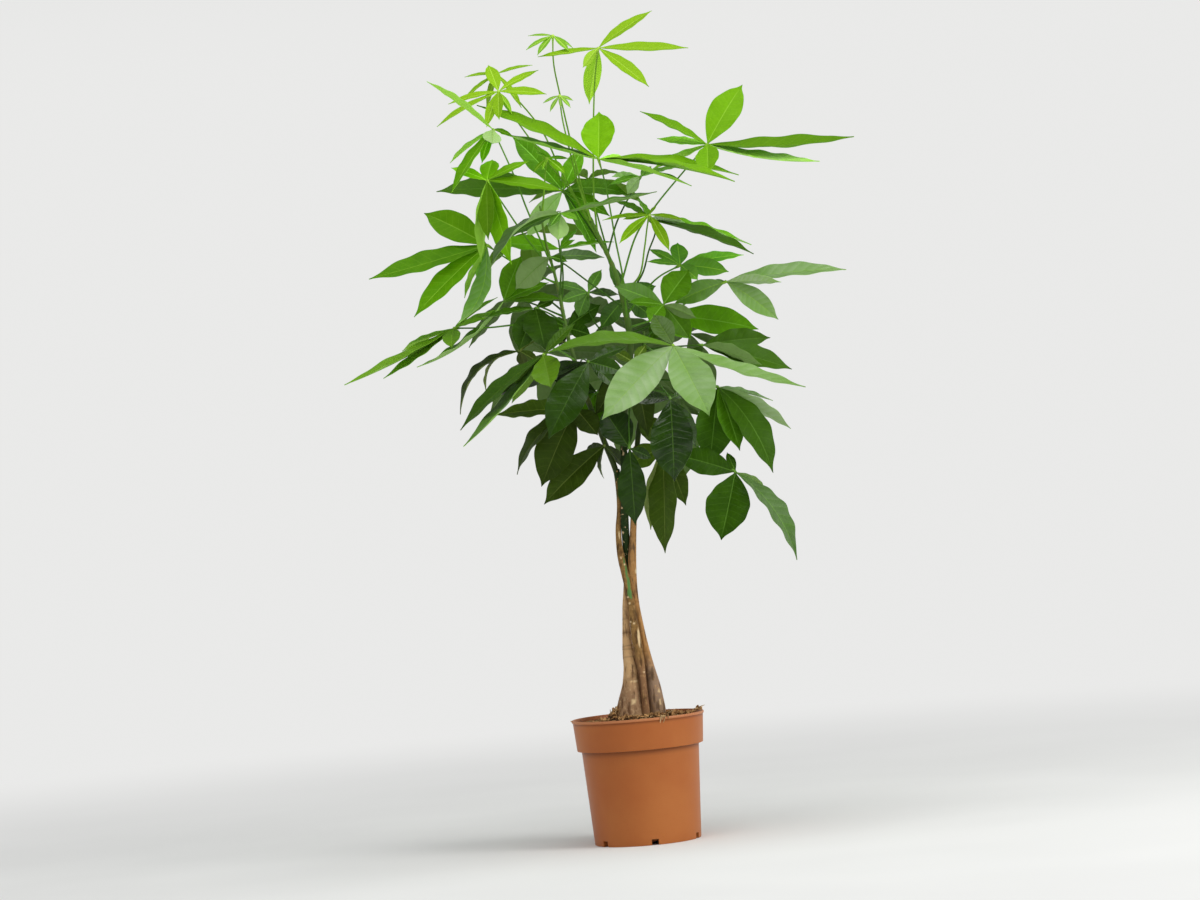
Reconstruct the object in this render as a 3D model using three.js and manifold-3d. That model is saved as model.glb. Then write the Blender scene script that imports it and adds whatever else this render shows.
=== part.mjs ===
import * as THREE from "three";
import { mergeVertices } from "three/addons/utils/BufferGeometryUtils.js";
import Module from "manifold-3d";

// A money tree, three young trunks braided together, in a plastic nursery pot.
// Millimetres, +Z up, +Y away from whoever looks at the front.
// The origin is the middle of the pot's underside.

const wasm = await Module();
wasm.setup();
const V = THREE.Vector3;
const RADIAN = Math.PI / 180;
const GAP = 0.35; // between two pieces that touch
const SPECK = 0.002; // an overlap in cubic millimetres that counts as none

// ---- driving dimensions ----

const POT = {
  height: 161,
  rim: 85,
  rimFoot: 81,
  rimDepth: 40,
  shoulder: 75.3,
  foot: 68.3,
  wall: 2.1,
  floor: 6.5,
  recess: 3.5,
  footRing: 8,
  lip: 1.2,
  sides: 22,
  drains: 6,
  drainWidth: 9,
  drainLength: 16,
};
const SOIL = { level: 154, heap: 8, heapRadius: 36, chips: 7, chipLength: 13, chipThickness: 3.2 };
const BLADE = { rib: 1.3, fold: 0.16, wave: 0.05, root: 0.75, start: 1.2, arch: 0.03 };
const BLADE_STEPS = [[32, 2], [107, 3], [190, 4], [Infinity, 5]]; // up to a length, the steps along it
const STALK = {
  top: 0.95, foot: 1.35, sides: 4, knob: 2.6, knobLength: 4.5, past: 1.6, rooting: 1.8, give: 0.25,
};
// How wide a grown blade is beside its length, by the age of its leaf.
const BREADTH = { young: 0.25, fresh: 0.29, mature: 0.33 };
// Steps by which a blade or a stalk gives way until it is clear of its neighbours.
const BENDS = [0, -0.1, 0.1, -0.2, 0.2, -0.3, 0.3, -0.42, 0.42, -0.55, 0.55, -0.7, 0.7, -0.9, 0.9];

// Where the front of the plant is looked at from. The tables below give x and z as they
// look from there, on the plane through the pot's axis, and then the depth along Y.
const EYE = new V(-19, -4366, 425);
const TOWARDS_EYE = new V(0, -1, 0);

// Trunks, from 30 mm down in the soil to the cut tops: x, y, z and radius.
const TRUNKS = {
  left: [
    [-9, 1, 126, 15], [-9, 1, 148, 19], [-9, 1, 160, 19.5], [-8.3, 1, 170, 17.3],
    [-7.2, 1, 181, 15.5], [-5.6, 1, 192, 13.6], [-4.3, 1, 204, 11.5], [-3.7, 1, 222, 9.3],
    [-5, 1.5, 242, 7.3], [-5.2, 2.2, 262, 5.7], [-4.5, 4.2, 282, 4.6], [-2.8, 6.8, 302, 4.5],
    [0.2, 8.8, 324, 4.4], [2.8, 8.2, 350, 4.5], [4.2, 4, 380, 4.8], [5, -1, 412, 5],
    [8, -4, 450, 4.6], [11.5, -3, 500, 4.5], [16, 0, 548, 4.3],
  ],
  middle: [
    [10.5, -9, 126, 6.4], [11, -9.5, 152, 5.5], [11.3, -10, 175, 4.6], [10.3, -10, 200, 4.6],
    [9.8, -9.2, 222, 4.9], [8.2, -8, 242, 6], [6.6, -7, 262, 6.1], [5.4, -5.6, 282, 5.5],
    [4.2, -4.2, 302, 5.1], [2.4, -3.2, 320, 4.5], [-0.2, -2.6, 342, 5], [-3.4, -2.2, 362, 4.7],
    [-4.8, -0.5, 382, 3.9], [-3.9, 3, 402, 3.7], [0, 5, 425, 4], [1, 6, 450, 4],
    [0, 6, 478, 4.1],
  ],
  right: [
    [25, 4, 126, 11.5], [26, 4, 148, 11.5], [26.2, 4, 162, 10.8], [25, 4, 180, 10.2],
    [23, 4, 200, 9], [20.6, 3, 220, 6.7], [18.3, 2, 240, 4.9], [16, 1.5, 260, 3.8],
    [13.3, 0.5, 280, 3.7], [11, 0, 300, 3.7], [9.8, -0.8, 320, 4.1], [9.3, -1.4, 340, 4.9],
    [10.1, -1.6, 360, 5.3], [12.4, -1.4, 380, 4.7], [15, -1.2, 400, 4.2], [19, -1, 432, 4.2],
    [24, 0, 470, 4], [28, 1, 505, 3.9],
  ],
};
const TRUNK_SIDES = 8;

// Green shoots, from inside the trunk that each grows from up to its tip: x, y, z and radius.
const SHOOTS = {
  left: [
    [1.5, 6, 462, 3.2], [-2.5, 5, 482, 3.8], [-10, 1, 506, 3.9], [-18, -4, 532, 3.6],
    [-30, -9, 572, 3.2], [-42, -12, 622, 2.8], [-49, -14, 662, 2.4], [-53, -15, 700, 2.1],
    [-58, -16, 735, 1.9], [-64, -16, 765, 1.8], [-67, -17, 790, 1.6], [-69, -18, 822, 1.3],
  ],
  middle: [
    [14, -0.5, 530, 3.4], [17.5, 1, 556, 4.2], [25, 4, 590, 4.4], [31, 7, 630, 4.3],
    [31, 8, 660, 4.1], [27, 8, 695, 3.7], [20, 6, 730, 3.2], [9, 4, 762, 2.7],
    [-1, 2, 788, 2.3], [-6, 1, 804, 1.8],
  ],
  right: [
    [27, 1, 492, 3], [31, 3, 516, 3.6], [38, 7, 548, 3.5], [44, 10, 584, 3.2],
    [48, 12, 620, 2.8], [50, 14, 652, 2],
  ],
};
const SHOOT_SIDES = 7;

// Leaves, each a stalk with blades that fan out from its hub. hub is x, z and depth.
// faces is how many degrees the leaf's upper side leans to the front and to the right.
// stalk is the points that the stalk passes on its way to the shoot, and joins is the
// height where it meets the shoot. A blade is the x and z of its tip, how wide it looks
// from the front (minus when its underside shows), how fast it goes back (or, with
// minus, comes forward) for each millimetre it goes sideways, and its arch.
// fan is for leaves that the front doesn't show: how many blades, and how long.
const LEAVES = [
  {
    name: "leaf_top", age: "young", shoot: "middle", joins: 777,
    hub: [23, 1020, -6], faces: [15, 0],
    stalk: [[16, 985, -5], [10, 938, -3], [5, 885, 0], [1, 830, 2]],
    blades: [
      [96, 1062, 15, 0.5, 0.02], [139, 1010, 15, -0.1, 0], [84, 964, 18, -0.6, 0.02],
      [5, 948, -22, 0.9], [-56, 1015, 9, 0.1, 0], [1, 996, -12, -0.5],
    ],
  },
  {
    name: "leaf_tip_left", age: "young", shoot: "middle", joins: 792,
    hub: [-34, 1041, 16], faces: [10, 0],
    stalk: [[-36, 1005, 15], [-31, 962, 15], [-23, 905, 14], [-15, 850, 12]],
    blades: [
      [-66, 1043, 3, 0.3], [-70, 1025, 6, -0.3], [-56, 1017, 8, -0.7], [-15, 1019, 8, -0.6],
      [-9, 1022, 4, 0.3],
    ],
  },
  {
    name: "leaf_bud", age: "young", shoot: "middle", joins: 799,
    hub: [-32, 963, -8], faces: [10, 0],
    stalk: [[-31, 935, -8], [-27, 905, -8], [-19, 855, -8]],
    blades: [
      [-54, 955, 4, 0.2], [-46, 943, 5, -0.4], [-32, 947, 4, -0.9], [-19, 946, 5, -0.4],
      [-15, 955, 4, 0.3],
    ],
  },
  {
    name: "leaf_upper_left_back", age: "young", shoot: "middle", joins: 784,
    hub: [-110, 998, 42], faces: [5, 0],
    stalk: [[-98, 979, 38], [-60, 924, 28], [-38, 866, 20]],
    blades: [
      [-152, 997, 5, 0.3], [-63, 1005, 5, 0.4], [-155, 968, 6, -0.2], [-82, 951, 8, -0.3],
      [-127, 956, 9, 0.8],
    ],
  },
  {
    name: "leaf_upper_left_front", age: "young", shoot: "middle", joins: 770,
    hub: [-110, 975, 2], faces: [20, 0],
    stalk: [[-100, 955, 2], [-88, 935, 4], [-62, 892, 8], [-30, 843, 9]],
    blades: [
      [-120, 1010, 18, 1.5], [-56, 998, 10, 0.3], [-48, 966, 12, -0.3], [-176, 964, 9, 0.2],
      [-193, 936, 9, -0.3], [-129, 930, 14, -0.7], [-112, 938, 14, -1.3], [-95, 944, -8, -0.2],
    ],
  },
  {
    name: "leaf_high_middle", age: "fresh", shoot: "middle", joins: 668,
    hub: [11, 877, -36], faces: [25, 0],
    stalk: [[17, 845, -31], [21, 805, -25], [24, 770, -16], [29, 725, -6]],
    blades: [
      [17, 938, 43, 0.5], [-140, 960, 20, 0.1, 0.02], [-112, 921, 8, 0.4, 0],
      [190, 841, 14, 0.25, 0.04], [184, 833, 11, -0.25, 0.04], [128, 832, 4, -0.6],
      [45, 874, -7, 0.9],
    ],
  },
  {
    name: "leaf_high_left", age: "fresh", shoot: "left", joins: 752,
    hub: [-121, 927, -56], faces: [0, -20],
    stalk: [[-113, 905, -52], [-98, 862, -42], [-86, 820, -32]],
    blades: [
      [-201, 996, -6, -0.1, 0.02], [-180, 888, -3, 0.5], [-181, 850, 15, -0.2],
      [-139, 884, 13, 0.3], [-123, 908, -24, -1.4], [-96, 916, 7, 0.8],
    ],
  },
  {
    name: "leaf_high_right", age: "fresh", shoot: "middle", joins: 712,
    hub: [152, 884, -12], faces: [25, 0],
    stalk: [[113, 846, -10], [80, 812, -8], [52, 777, -2]],
    blades: [
      [204, 957, 40, 0.4], [69, 934, 13, 0.1, 0.02], [88, 897, 12, 0.4, 0],
      [342, 878, 20, -0.05, -0.03], [295, 850, 14, -0.3, -0.04], [150, 846, 30, -1.8],
      [78, 858, -7, -0.2, 0],
    ],
  },
  {
    name: "leaf_bright_right", age: "young", shoot: "middle", joins: 703,
    hub: [70, 800, -36], faces: [15, 0],
    stalk: [[66, 785, -34], [60, 757, -26], [50, 722, -12]],
    blades: [
      [80, 811, 4, 0.9], [9, 798, 6, 0.2], [28, 766, 12, -0.4], [92, 751, 14, -0.5],
      [36, 797, 8, 0.7], [115, 789, 6, 0.2],
    ],
  },
  {
    name: "leaf_long_right", age: "mature", shoot: "middle", joins: 694,
    hub: [69, 795, -2], faces: [25, 10],
    stalk: [[76, 780, -1], [65, 753, 1], [54, 724, 4]],
    blades: [
      [26, 821, 9, 0.3, 0.08], [115, 786, -11, -0.3], [198, 750, 12, 0.4], [200, 738, 15, -0.05],
      [58, 822, 9, 1.4],
    ],
  },
  {
    name: "leaf_grey_middle", age: "mature", shoot: "middle", joins: 756,
    hub: [63, 850, 24], faces: [-10, 0],
    stalk: [[48, 828, 21], [28, 795, 14]],
    blades: [
      [22, 843, 9, 0.2], [26, 853, -7, 0.7], [44, 829, -16, -0.5], [112, 858, 7, 0.3],
      [78, 862, 9, 1.3],
    ],
  },
  {
    name: "leaf_dark_upper", age: "mature", shoot: "middle", joins: 763,
    hub: [-38, 840, 28], faces: [15, 0],
    stalk: [[-24, 818, 20]],
    blades: [
      [-201, 853, 34, 0.05, 0.03], [-97, 915, 32, 0.4], [-8, 892, 24, 0.4],
      [46, 827, 22, 0.15, 0.09], [-90, 783, -26, 0.1], [-2, 757, 20, 0.15], [20, 802, 18, -0.1],
    ],
  },
  {
    name: "leaf_young_left", age: "young", shoot: "left", joins: 812,
    hub: [-55, 884, -22], faces: [10, 0],
    stalk: [[-59, 862, -21]],
    blades: [
      [-74, 867, 5, -0.2], [-62, 870, 4, -0.9], [-33, 862, 10, -0.2], [-27, 881, 5, 0.3],
      [-68, 893, 4, 1.2],
    ],
  },
  {
    name: "leaf_left_upper", age: "fresh", shoot: "left", joins: 738,
    hub: [-134, 862, -62], faces: [30, -10],
    stalk: [[-112, 822, -54], [-94, 790, -44]],
    blades: [
      [-179, 882, 13, 0.3], [-125, 888, 24, 1.3], [-78, 882, 11, 0.4], [-38, 840, 16, 0],
      [-151, 757, -14, -0.1], [-139, 785, 21, -0.5], [-112, 751, 25, -0.3],
    ],
  },
  {
    name: "leaf_left_wide", age: "fresh", shoot: "left", joins: 722,
    hub: [-141, 779, -30], faces: [35, -15],
    stalk: [[-122, 763, -28], [-92, 742, -22]],
    blades: [
      [-219, 827, 38, 0.4], [-297, 748, 27, 0, 0], [-243, 694, 29, -0.2],
      [-187, 682, 24, -0.4, -0.18],
      [-176, 713, -6, 0.4], [-156, 730, 16, 0.8],
    ],
  },
  {
    name: "leaf_arching", age: "mature", shoot: "left", joins: 706,
    hub: [-44, 812, -70], faces: [15, 0],
    stalk: [[-49, 790, -62], [-48, 750, -42]],
    blades: [
      [-140, 748, 10, -0.5, 0.15], [-125, 783, 15, 0.1], [-50, 777, -27, -0.6],
      [83, 829, 6, 0.05, 0], [-58, 796, 12, -1.2], [-22, 801, 9, -1],
    ],
  },
  {
    name: "leaf_inner_upper", age: "mature", shoot: "left", joins: 694,
    hub: [-48, 766, 12], faces: [25, 0],
    stalk: [[-47, 735, 6]],
    blades: [
      [-127, 779, 21, 0.05], [22, 769, 6, 0.2], [-28, 776, 6, -0.4], [-24, 790, 9, 1],
    ],
  },
  {
    name: "leaf_grey_left", age: "mature", shoot: "middle", joins: 684,
    hub: [-62, 757, -30], faces: [20, 0],
    stalk: [[-48, 749, -22], [-18, 723, -4]],
    blades: [[8, 750, 15, 0.15], [-40, 749, 10, -0.4], [-110, 719, -33, -0.5]],
  },
  {
    name: "leaf_left_middle", age: "mature", shoot: "left", joins: 679,
    hub: [-126, 705, -32], faces: [30, -10],
    stalk: [[-98, 702, -28]],
    blades: [
      [-98, 762, 30, 0], [-66, 724, 15, 0.2], [-52, 702, 13, -0.2],
      [-245, 630, 6, -0.05, -0.09],
    ],
  },
  {
    name: "leaf_far_left", age: "fresh", shoot: "left", joins: 662,
    hub: [-193, 676, -14], faces: [15, -25],
    stalk: [[-150, 673, -13], [-100, 673, -13]],
    blades: [
      [-340, 615, 11, 0, -0.02], [-289, 619, 12, -0.25, -0.02], [-198, 651, 23, -1.6],
      [-262, 652, -5, 0.5], [-133, 711, 7, 0.3], [-113, 694, 8, 0.6], [-150, 685, 7, -0.5],
    ],
  },
  {
    name: "leaf_dark_left", age: "mature", shoot: "left", joins: 670,
    hub: [-86, 693, -48], faces: [40, 0],
    stalk: [[-70, 685, -36]],
    blades: [
      [-78, 638, 44, -1.1], [-112, 640, 34, -0.6], [-152, 686, 9, 0.2], [-60, 702, 12, 0.5],
    ],
  },
  {
    name: "leaf_drooping_left", age: "mature", shoot: "left", joins: 644,
    hub: [-112, 640, -22], faces: [10, -20],
    stalk: [[-84, 652, -20]],
    blades: [
      [-194, 564, 10, 0.1, 0.2], [-158, 587, 4, 0.5, 0.25], [-106, 618, -13, -0.6],
      [-88, 622, 13, 0.3],
    ],
  },
  {
    name: "leaf_front_left", age: "fresh", shoot: "left", joins: 622,
    hub: [-81, 632, -128], faces: [40, -10],
    stalk: [[-72, 640, -98], [-58, 634, -54]],
    blades: [
      [-75, 589, 37, -1.1], [-196, 544, 19, 0, 0.05], [-194, 523, 12, -0.3, -0.04],
      [-127, 573, -18, 0.2], [-37, 669, 13, 0.2],
    ],
  },
  {
    name: "leaf_hero", age: "fresh", shoot: "right", joins: 634,
    hub: [86, 630, -158], faces: [45, 0],
    stalk: [[82, 622, -132], [70, 618, -74]],
    blades: [
      [-14, 542, 48, -0.35], [125, 535, 52, -0.6], [252, 562, 16, 0, -0.04], [64, 672, 27, 0.7],
      [-80, 633, 18, 0.05, 0.1],
    ],
  },
  {
    name: "leaf_front_dark", age: "mature", shoot: "left", joins: 606,
    hub: [-24, 618, -72], faces: [45, 0],
    stalk: [[-32, 622, -46]],
    blades: [
      [-84, 523, 46, -0.3], [20, 601, 21, -0.5], [26, 633, 13, 0.4], [-70, 592, 19, 0.3],
      [9, 582, 16, 0.2], [-150, 583, 22, 0.45],
    ],
  },
  {
    name: "leaf_on_trunks", age: "mature", shoot: "middle", joins: 592,
    hub: [19, 503, -46], faces: [60, 0],
    stalk: [[21, 535, -40], [26, 572, -22]],
    blades: [[18, 403, 36, -0.1], [-10, 556, 42, 0.3], [46, 488, 14, 0.4]],
  },
  {
    name: "leaf_glossy", age: "mature", shoot: "right", joins: 602,
    hub: [77, 562, -84], faces: [45, 0],
    stalk: [[68, 576, -60]],
    blades: [[73, 455, 54, -0.3], [104, 498, 24, 0.1], [22, 566, 17, 0.2], [118, 575, 16, 0.4]],
  },
  {
    name: "leaf_low_right", age: "mature", shoot: "right", joins: 548,
    hub: [152, 461, -54], faces: [45, 10],
    stalk: [[118, 488, -42], [76, 522, -22]],
    blades: [
      [126, 375, 55, -0.3], [221, 341, 24, -0.05, 0.17], [188, 437, -9, 0.4], [143, 487, 11, 0.8],
      [77, 489, 34, 0.1],
    ],
  },
  {
    name: "leaf_right_lower", age: "mature", shoot: "right", joins: 588,
    hub: [139, 572, -24], faces: [35, 10],
    stalk: [[108, 578, -20], [76, 586, -8]],
    blades: [
      [200, 455, 37, -0.2, 0.12], [228, 510, -15, 0.1], [208, 548, 5, 0.5], [160, 487, 30, -0.35],
      [120, 474, 50, 0.05],
    ],
  },
  {
    name: "leaf_right_middle", age: "mature", shoot: "middle", joins: 650,
    hub: [78, 683, -34], faces: [35, 0],
    stalk: [[66, 663, -26]],
    blades: [
      [115, 725, 38, 0.3], [17, 712, 26, 0.15], [33, 690, 12, -0.3], [58, 662, 24, -0.9],
      [119, 662, -16, -0.5], [108, 637, 30, 0],
    ],
  },
  {
    name: "leaf_right_upper", age: "fresh", shoot: "middle", joins: 676,
    hub: [104, 732, 2], faces: [20, 0],
    stalk: [[72, 717, 3]],
    blades: [
      [65, 756, 11, 0.3], [62, 740, 8, -0.2], [103, 761, 23, 0.9], [166, 718, 24, -0.2],
      [125, 711, 20, -1], [187, 738, 15, 0.3],
    ],
  },
  {
    name: "leaf_far_right", age: "fresh", shoot: "middle", joins: 658,
    hub: [161, 706, -14], faces: [20, 15],
    stalk: [[128, 694, -8], [86, 672, 0]],
    blades: [
      [317, 708, 20, 0, 0.03], [232, 699, -11, -0.3], [224, 651, 28, -0.15],
      [92, 683, 27, 0.15], [139, 703, 9, 0.9],
    ],
  },
  {
    name: "leaf_right_deep", age: "mature", shoot: "right", joins: 628,
    hub: [124, 627, -58], faces: [35, 10],
    stalk: [[98, 628, -42]],
    blades: [
      [212, 629, 28, 0.2], [236, 586, 29, 0], [198, 595, -15, -0.3], [96, 592, 22, -0.1],
    ],
  },
  {
    name: "leaf_right_back", age: "mature", shoot: "right", joins: 643,
    hub: [84, 668, 16], faces: [25, 10],
    stalk: [[70, 657, 14]],
    blades: [[198, 641, 38, 0.05], [109, 636, 28, -0.3], [58, 640, 24, 0.1], [50, 690, 16, 0.6]],
  },
  {
    name: "leaf_low_left", age: "mature", shoot: "left", joins: 532,
    hub: [-13, 509, -17], faces: [35, -10],
    stalk: [[-12, 520, -16]],
    blades: [[-97, 440, 38, 0], [-17, 467, 5, 0.3, 0.2], [-42, 498, 14, 1.5], [16, 470, 12, 1.2]],
  },
  {
    name: "leaf_left_lower", age: "mature", shoot: "left", joins: 586,
    hub: [-46, 560, -34], faces: [40, -10],
    stalk: [[-42, 574, -24]],
    blades: [
      [-98, 463, 50, 0], [-128, 481, 18, 0.25, 0.14], [-20, 523, 30, -0.4], [-150, 560, 22, 0.4],
    ],
  },
  {
    name: "leaf_below_right", age: "mature", shoot: "right", joins: 524,
    hub: [62, 500, -24], faces: [40, 0],
    stalk: [[50, 514, -14]],
    blades: [
      [53, 364, 35, -0.1], [37, 396, -21, 0.15], [85, 423, 27, 0.15], [16, 482, 30, 0.4],
      [38, 545, 30, 0.4],
    ],
  },
  {
    name: "leaf_inner_left", age: "mature", shoot: "left", joins: 653,
    hub: [-48, 664, 16], faces: [30, 0],
    stalk: [[-49, 658, 4]],
    blades: [[-2, 690, 25, 0.2], [-69, 676, 16, 0.4], [-18, 652, 20, -0.2], [-60, 642, 13, 0.7]],
  },
  {
    name: "leaf_inner_middle", age: "mature", shoot: "middle", joins: 640,
    hub: [-17, 707, 14], faces: [20, 0],
    stalk: [[-17, 680, 12], [0, 653, 10]],
    blades: [
      [3, 735, 15, 0.3], [-60, 723, 12, 0.2], [-53, 698, 15, -0.2], [22, 701, 11, 0.3],
      [-32, 676, 20, 0.3],
    ],
  },
  {
    name: "leaf_inner_right", age: "mature", shoot: "middle", joins: 690,
    hub: [30, 696, 30], faces: [25, 0],
    stalk: [],
    blades: [[-5, 659, 24, 0.1], [13, 742, 15, 0.2], [62, 668, 26, 0.2], [71, 708, 22, 0.3]],
  },
  {
    name: "leaf_inner_low", age: "mature", shoot: "right", joins: 612,
    hub: [34, 612, -34], faces: [40, 0],
    stalk: [[42, 612, -16]],
    blades: [[-22, 548, 28, 0], [44, 515, 30, -0.1], [8, 630, 13, 0.3], [52, 634, 13, 0.5]],
  },
  {
    name: "leaf_shaded", age: "mature", shoot: "left", joins: 566,
    hub: [-16, 578, 22], faces: [40, 0],
    stalk: [[-22, 574, 12]],
    blades: [
      [-60, 540, 34, 0.1], [-26, 526, 34, 0.1], [12, 548, 30, 0.1], [-70, 598, 24, 0.2],
      [24, 592, 24, 0.2],
    ],
  },
  {
    name: "leaf_back_1", age: "mature", shoot: "left", joins: 686,
    hub: [-100, 712, 118], faces: [-28, -25],
    stalk: [[-70, 702, 46]], fan: [5, 122],
  },
  {
    name: "leaf_back_2", age: "mature", shoot: "left", joins: 630,
    hub: [-78, 634, 108], faces: [-38, -25],
    stalk: [[-58, 636, 44]], fan: [5, 128],
  },
  {
    name: "leaf_back_3", age: "mature", shoot: "middle", joins: 664,
    hub: [6, 672, 154], faces: [-35, 0],
    stalk: [[20, 672, 80]], fan: [5, 122],
  },
  {
    name: "leaf_back_4", age: "mature", shoot: "middle", joins: 628,
    hub: [32, 597, 124], faces: [-52, 10],
    stalk: [[32, 612, 60]], fan: [5, 124],
  },
  {
    name: "leaf_back_5", age: "mature", shoot: "right", joins: 636,
    hub: [108, 644, 120], faces: [-28, 28],
    stalk: [[80, 648, 62]], fan: [5, 126],
  },
  {
    name: "leaf_back_6", age: "mature", shoot: "right", joins: 578,
    hub: [90, 562, 92], faces: [-45, 35],
    stalk: [[66, 572, 42]], fan: [5, 116],
  },
  {
    name: "leaf_back_7", age: "fresh", shoot: "left", joins: 762,
    hub: [-86, 792, 96], faces: [-24, -20],
    stalk: [[-76, 772, 34]], fan: [5, 104],
  },
  {
    name: "leaf_back_8", age: "fresh", shoot: "middle", joins: 742,
    hub: [-5, 853, 107], faces: [-21, 0],
    stalk: [[4, 802, 56]], fan: [5, 98],
  },
];
const FAN_TURN = 300 * RADIAN; // a leaf's blades leave a gap where its stalk comes in
const FAN_DROOP = 18 * RADIAN;
const FAN_OUTER = 0.72; // the outermost blades' length beside the middle one's
const FAN_ARCH = 0.07;

// ---- solids ----

// A closed geometry as a solid that can be joined and cut.
function solid(geometry) {
  const bare = geometry.clone();
  bare.deleteAttribute("normal");
  bare.deleteAttribute("uv");
  const merged = mergeVertices(bare, 1e-4);
  const index = Array.from(merged.index.array);
  const kept = [];
  for (let i = 0; i < index.length; i += 3) {
    const [a, b, c] = index.slice(i, i + 3);
    if (a !== b && b !== c && c !== a) {
      kept.push(a, b, c);
    }
  }
  return new wasm.Manifold(
    new wasm.Mesh({
      numProp: 3,
      vertProperties: new Float32Array(merged.attributes.position.array),
      triVerts: new Uint32Array(kept),
    }),
  );
}

// The largest connected piece of a solid, without the slivers that a cut leaves.
function mainPiece(cut) {
  const pieces = cut.decompose();
  return pieces.reduce((best, piece) => (piece.volume() > best.volume() ? piece : best));
}

// A solid through rings of points, each ring turning anticlockwise about the way it goes.
// It ends flat, or in a point. The far half of a thin blade's ring is split into
// triangles like the near half.
function loft(rings, point = null, thin = false) {
  const count = rings[0].length;
  const points = rings.flat();
  const index = [];
  const at = (ring, side) => ring * count + (side % count);
  for (let side = 1; side < count - 1; side += 1) {
    index.push(at(0, 0), at(0, side + 1), at(0, side));
  }
  for (let ring = 0; ring < rings.length - 1; ring += 1) {
    for (let side = 0; side < count; side += 1) {
      const quad = [at(ring, side), at(ring, side + 1), at(ring + 1, side + 1), at(ring + 1, side)];
      if (thin && side >= count / 2) {
        index.push(quad[0], quad[1], quad[3], quad[1], quad[2], quad[3]);
      } else {
        index.push(quad[0], quad[1], quad[2], quad[0], quad[2], quad[3]);
      }
    }
  }
  const last = rings.length - 1;
  if (point) {
    points.push(point);
    for (let side = 0; side < count; side += 1) {
      index.push(at(last, side), at(last, side + 1), points.length - 1);
    }
  } else {
    for (let side = 1; side < count - 1; side += 1) {
      index.push(at(last, 0), at(last, side), at(last, side + 1));
    }
  }
  const geometry = new THREE.BufferGeometry().setFromPoints(points);
  geometry.setIndex(index);
  return solid(geometry);
}

// A round solid about the Z axis, from a profile of radius and height that starts at the
// bottom of the axis and goes up the outside.
function turned(profile, sides) {
  const points = profile.map(([radius, height]) => new THREE.Vector2(radius, height));
  return solid(new THREE.LatheGeometry(points, sides).rotateX(Math.PI / 2));
}

// A level ring for what grows nearly upright.
function levelRing([x, y, z, radius], sides, margin) {
  return Array.from({ length: sides }, (_, i) => {
    const turn = (2 * Math.PI * i) / sides;
    return new V(x + (radius + margin) * Math.cos(turn), y + (radius + margin) * Math.sin(turn), z);
  });
}

function upright(rows, sides, margin = 0) {
  return loft(rows.map((row) => levelRing(row, sides, margin)));
}

// Seeded numbers from 0 to 1, the same on every run.
function seeded(seed) {
  let state = seed;
  return () => {
    state = (state * 1664525 + 1013904223) % 4294967296;
    return state / 4294967296;
  };
}

// ---- pot ----

function potSolid() {
  const { height, rim, rimFoot, rimDepth, shoulder, foot, wall, floor, recess, footRing, lip } = POT;
  const step = height - rimDepth;
  const body = turned(
    [
      [0, recess], [foot - footRing, recess], [foot - footRing + 1.5, 0], [foot - 0.8, 0],
      [foot, 0.8], [shoulder, step - 1], [rimFoot - 0.8, step], [rimFoot, step + 1],
      [rim - lip, height - 4], [rim, height - 3], [rim, height - lip], [rim - 0.6, height],
      [rim - wall + 0.2, height], [rim - wall - 0.5, height - 4], [rimFoot - wall, step + 2],
      [shoulder - wall, step - 2], [foot - wall, floor + 1.5], [foot - wall - 1.5, floor],
      [0, floor],
    ],
    POT.sides,
  );
  let pot = body;
  for (let i = 0; i < POT.drains; i += 1) {
    const slot = new THREE.BoxGeometry(POT.drainLength, POT.drainWidth, 2 * (floor + 1));
    slot.translate(foot - footRing + 2, 0, 0);
    slot.rotateZ((2 * Math.PI * (i + 0.62)) / POT.drains);
    pot = pot.subtract(solid(slot));
  }
  return pot;
}

// ---- soil ----

function soilHeight(radius) {
  return SOIL.level + SOIL.heap * Math.exp(-((radius / SOIL.heapRadius) ** 2));
}

function soilSolid() {
  const { height, rim, rimFoot, rimDepth, shoulder, foot, wall, floor } = POT;
  const step = height - rimDepth;
  const inner = rim - wall - 1.2 - GAP;
  const profile = [
    [0, floor + GAP], [foot - wall - 1.6 - GAP, floor + GAP], [foot - wall - GAP, floor + 2],
    [shoulder - wall - GAP, step - 1.6], [rimFoot - wall - GAP, step + 2.4],
    [inner, soilHeight(inner)], ...[58, 38, 18, 0].map((radius) => [radius, soilHeight(radius)]),
  ];
  let soil = turned(profile, POT.sides);
  const random = seeded(7);
  for (let i = 0; i < SOIL.chips; i += 1) {
    const turn = 2 * Math.PI * ((i * 0.381966) % 1);
    const radius = 34 + 38 * Math.sqrt(random());
    const long = SOIL.chipLength * (0.6 + 0.6 * random());
    const chip = new THREE.BoxGeometry(long, long * 0.5, SOIL.chipThickness);
    chip.rotateX((random() - 0.5) * 0.9);
    chip.rotateY((random() - 0.5) * 0.7);
    chip.rotateZ(2 * Math.PI * random());
    const out = Math.min(radius, inner - 2 - long * 0.55);
    chip.translate(out * Math.cos(turn), out * Math.sin(turn), soilHeight(out) + 0.4);
    soil = soil.add(solid(chip));
  }
  return soil;
}

// ---- leaves ----

// The point at a depth that looks to be at x and z.
function seen(x, z, depth) {
  return EYE.clone().lerp(new V(x, 0, z), (depth - EYE.y) / -EYE.y);
}

// The middle of a shoot at a height.
function onShoot(name, height) {
  const rows = SHOOTS[name];
  const above = rows.findIndex((row) => row[2] >= height);
  const [low, high] = [rows[above - 1], rows[above]];
  const part = (height - low[2]) / (high[2] - low[2]);
  return new V(...low.slice(0, 3)).lerp(new V(...high.slice(0, 3)), part);
}

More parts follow.
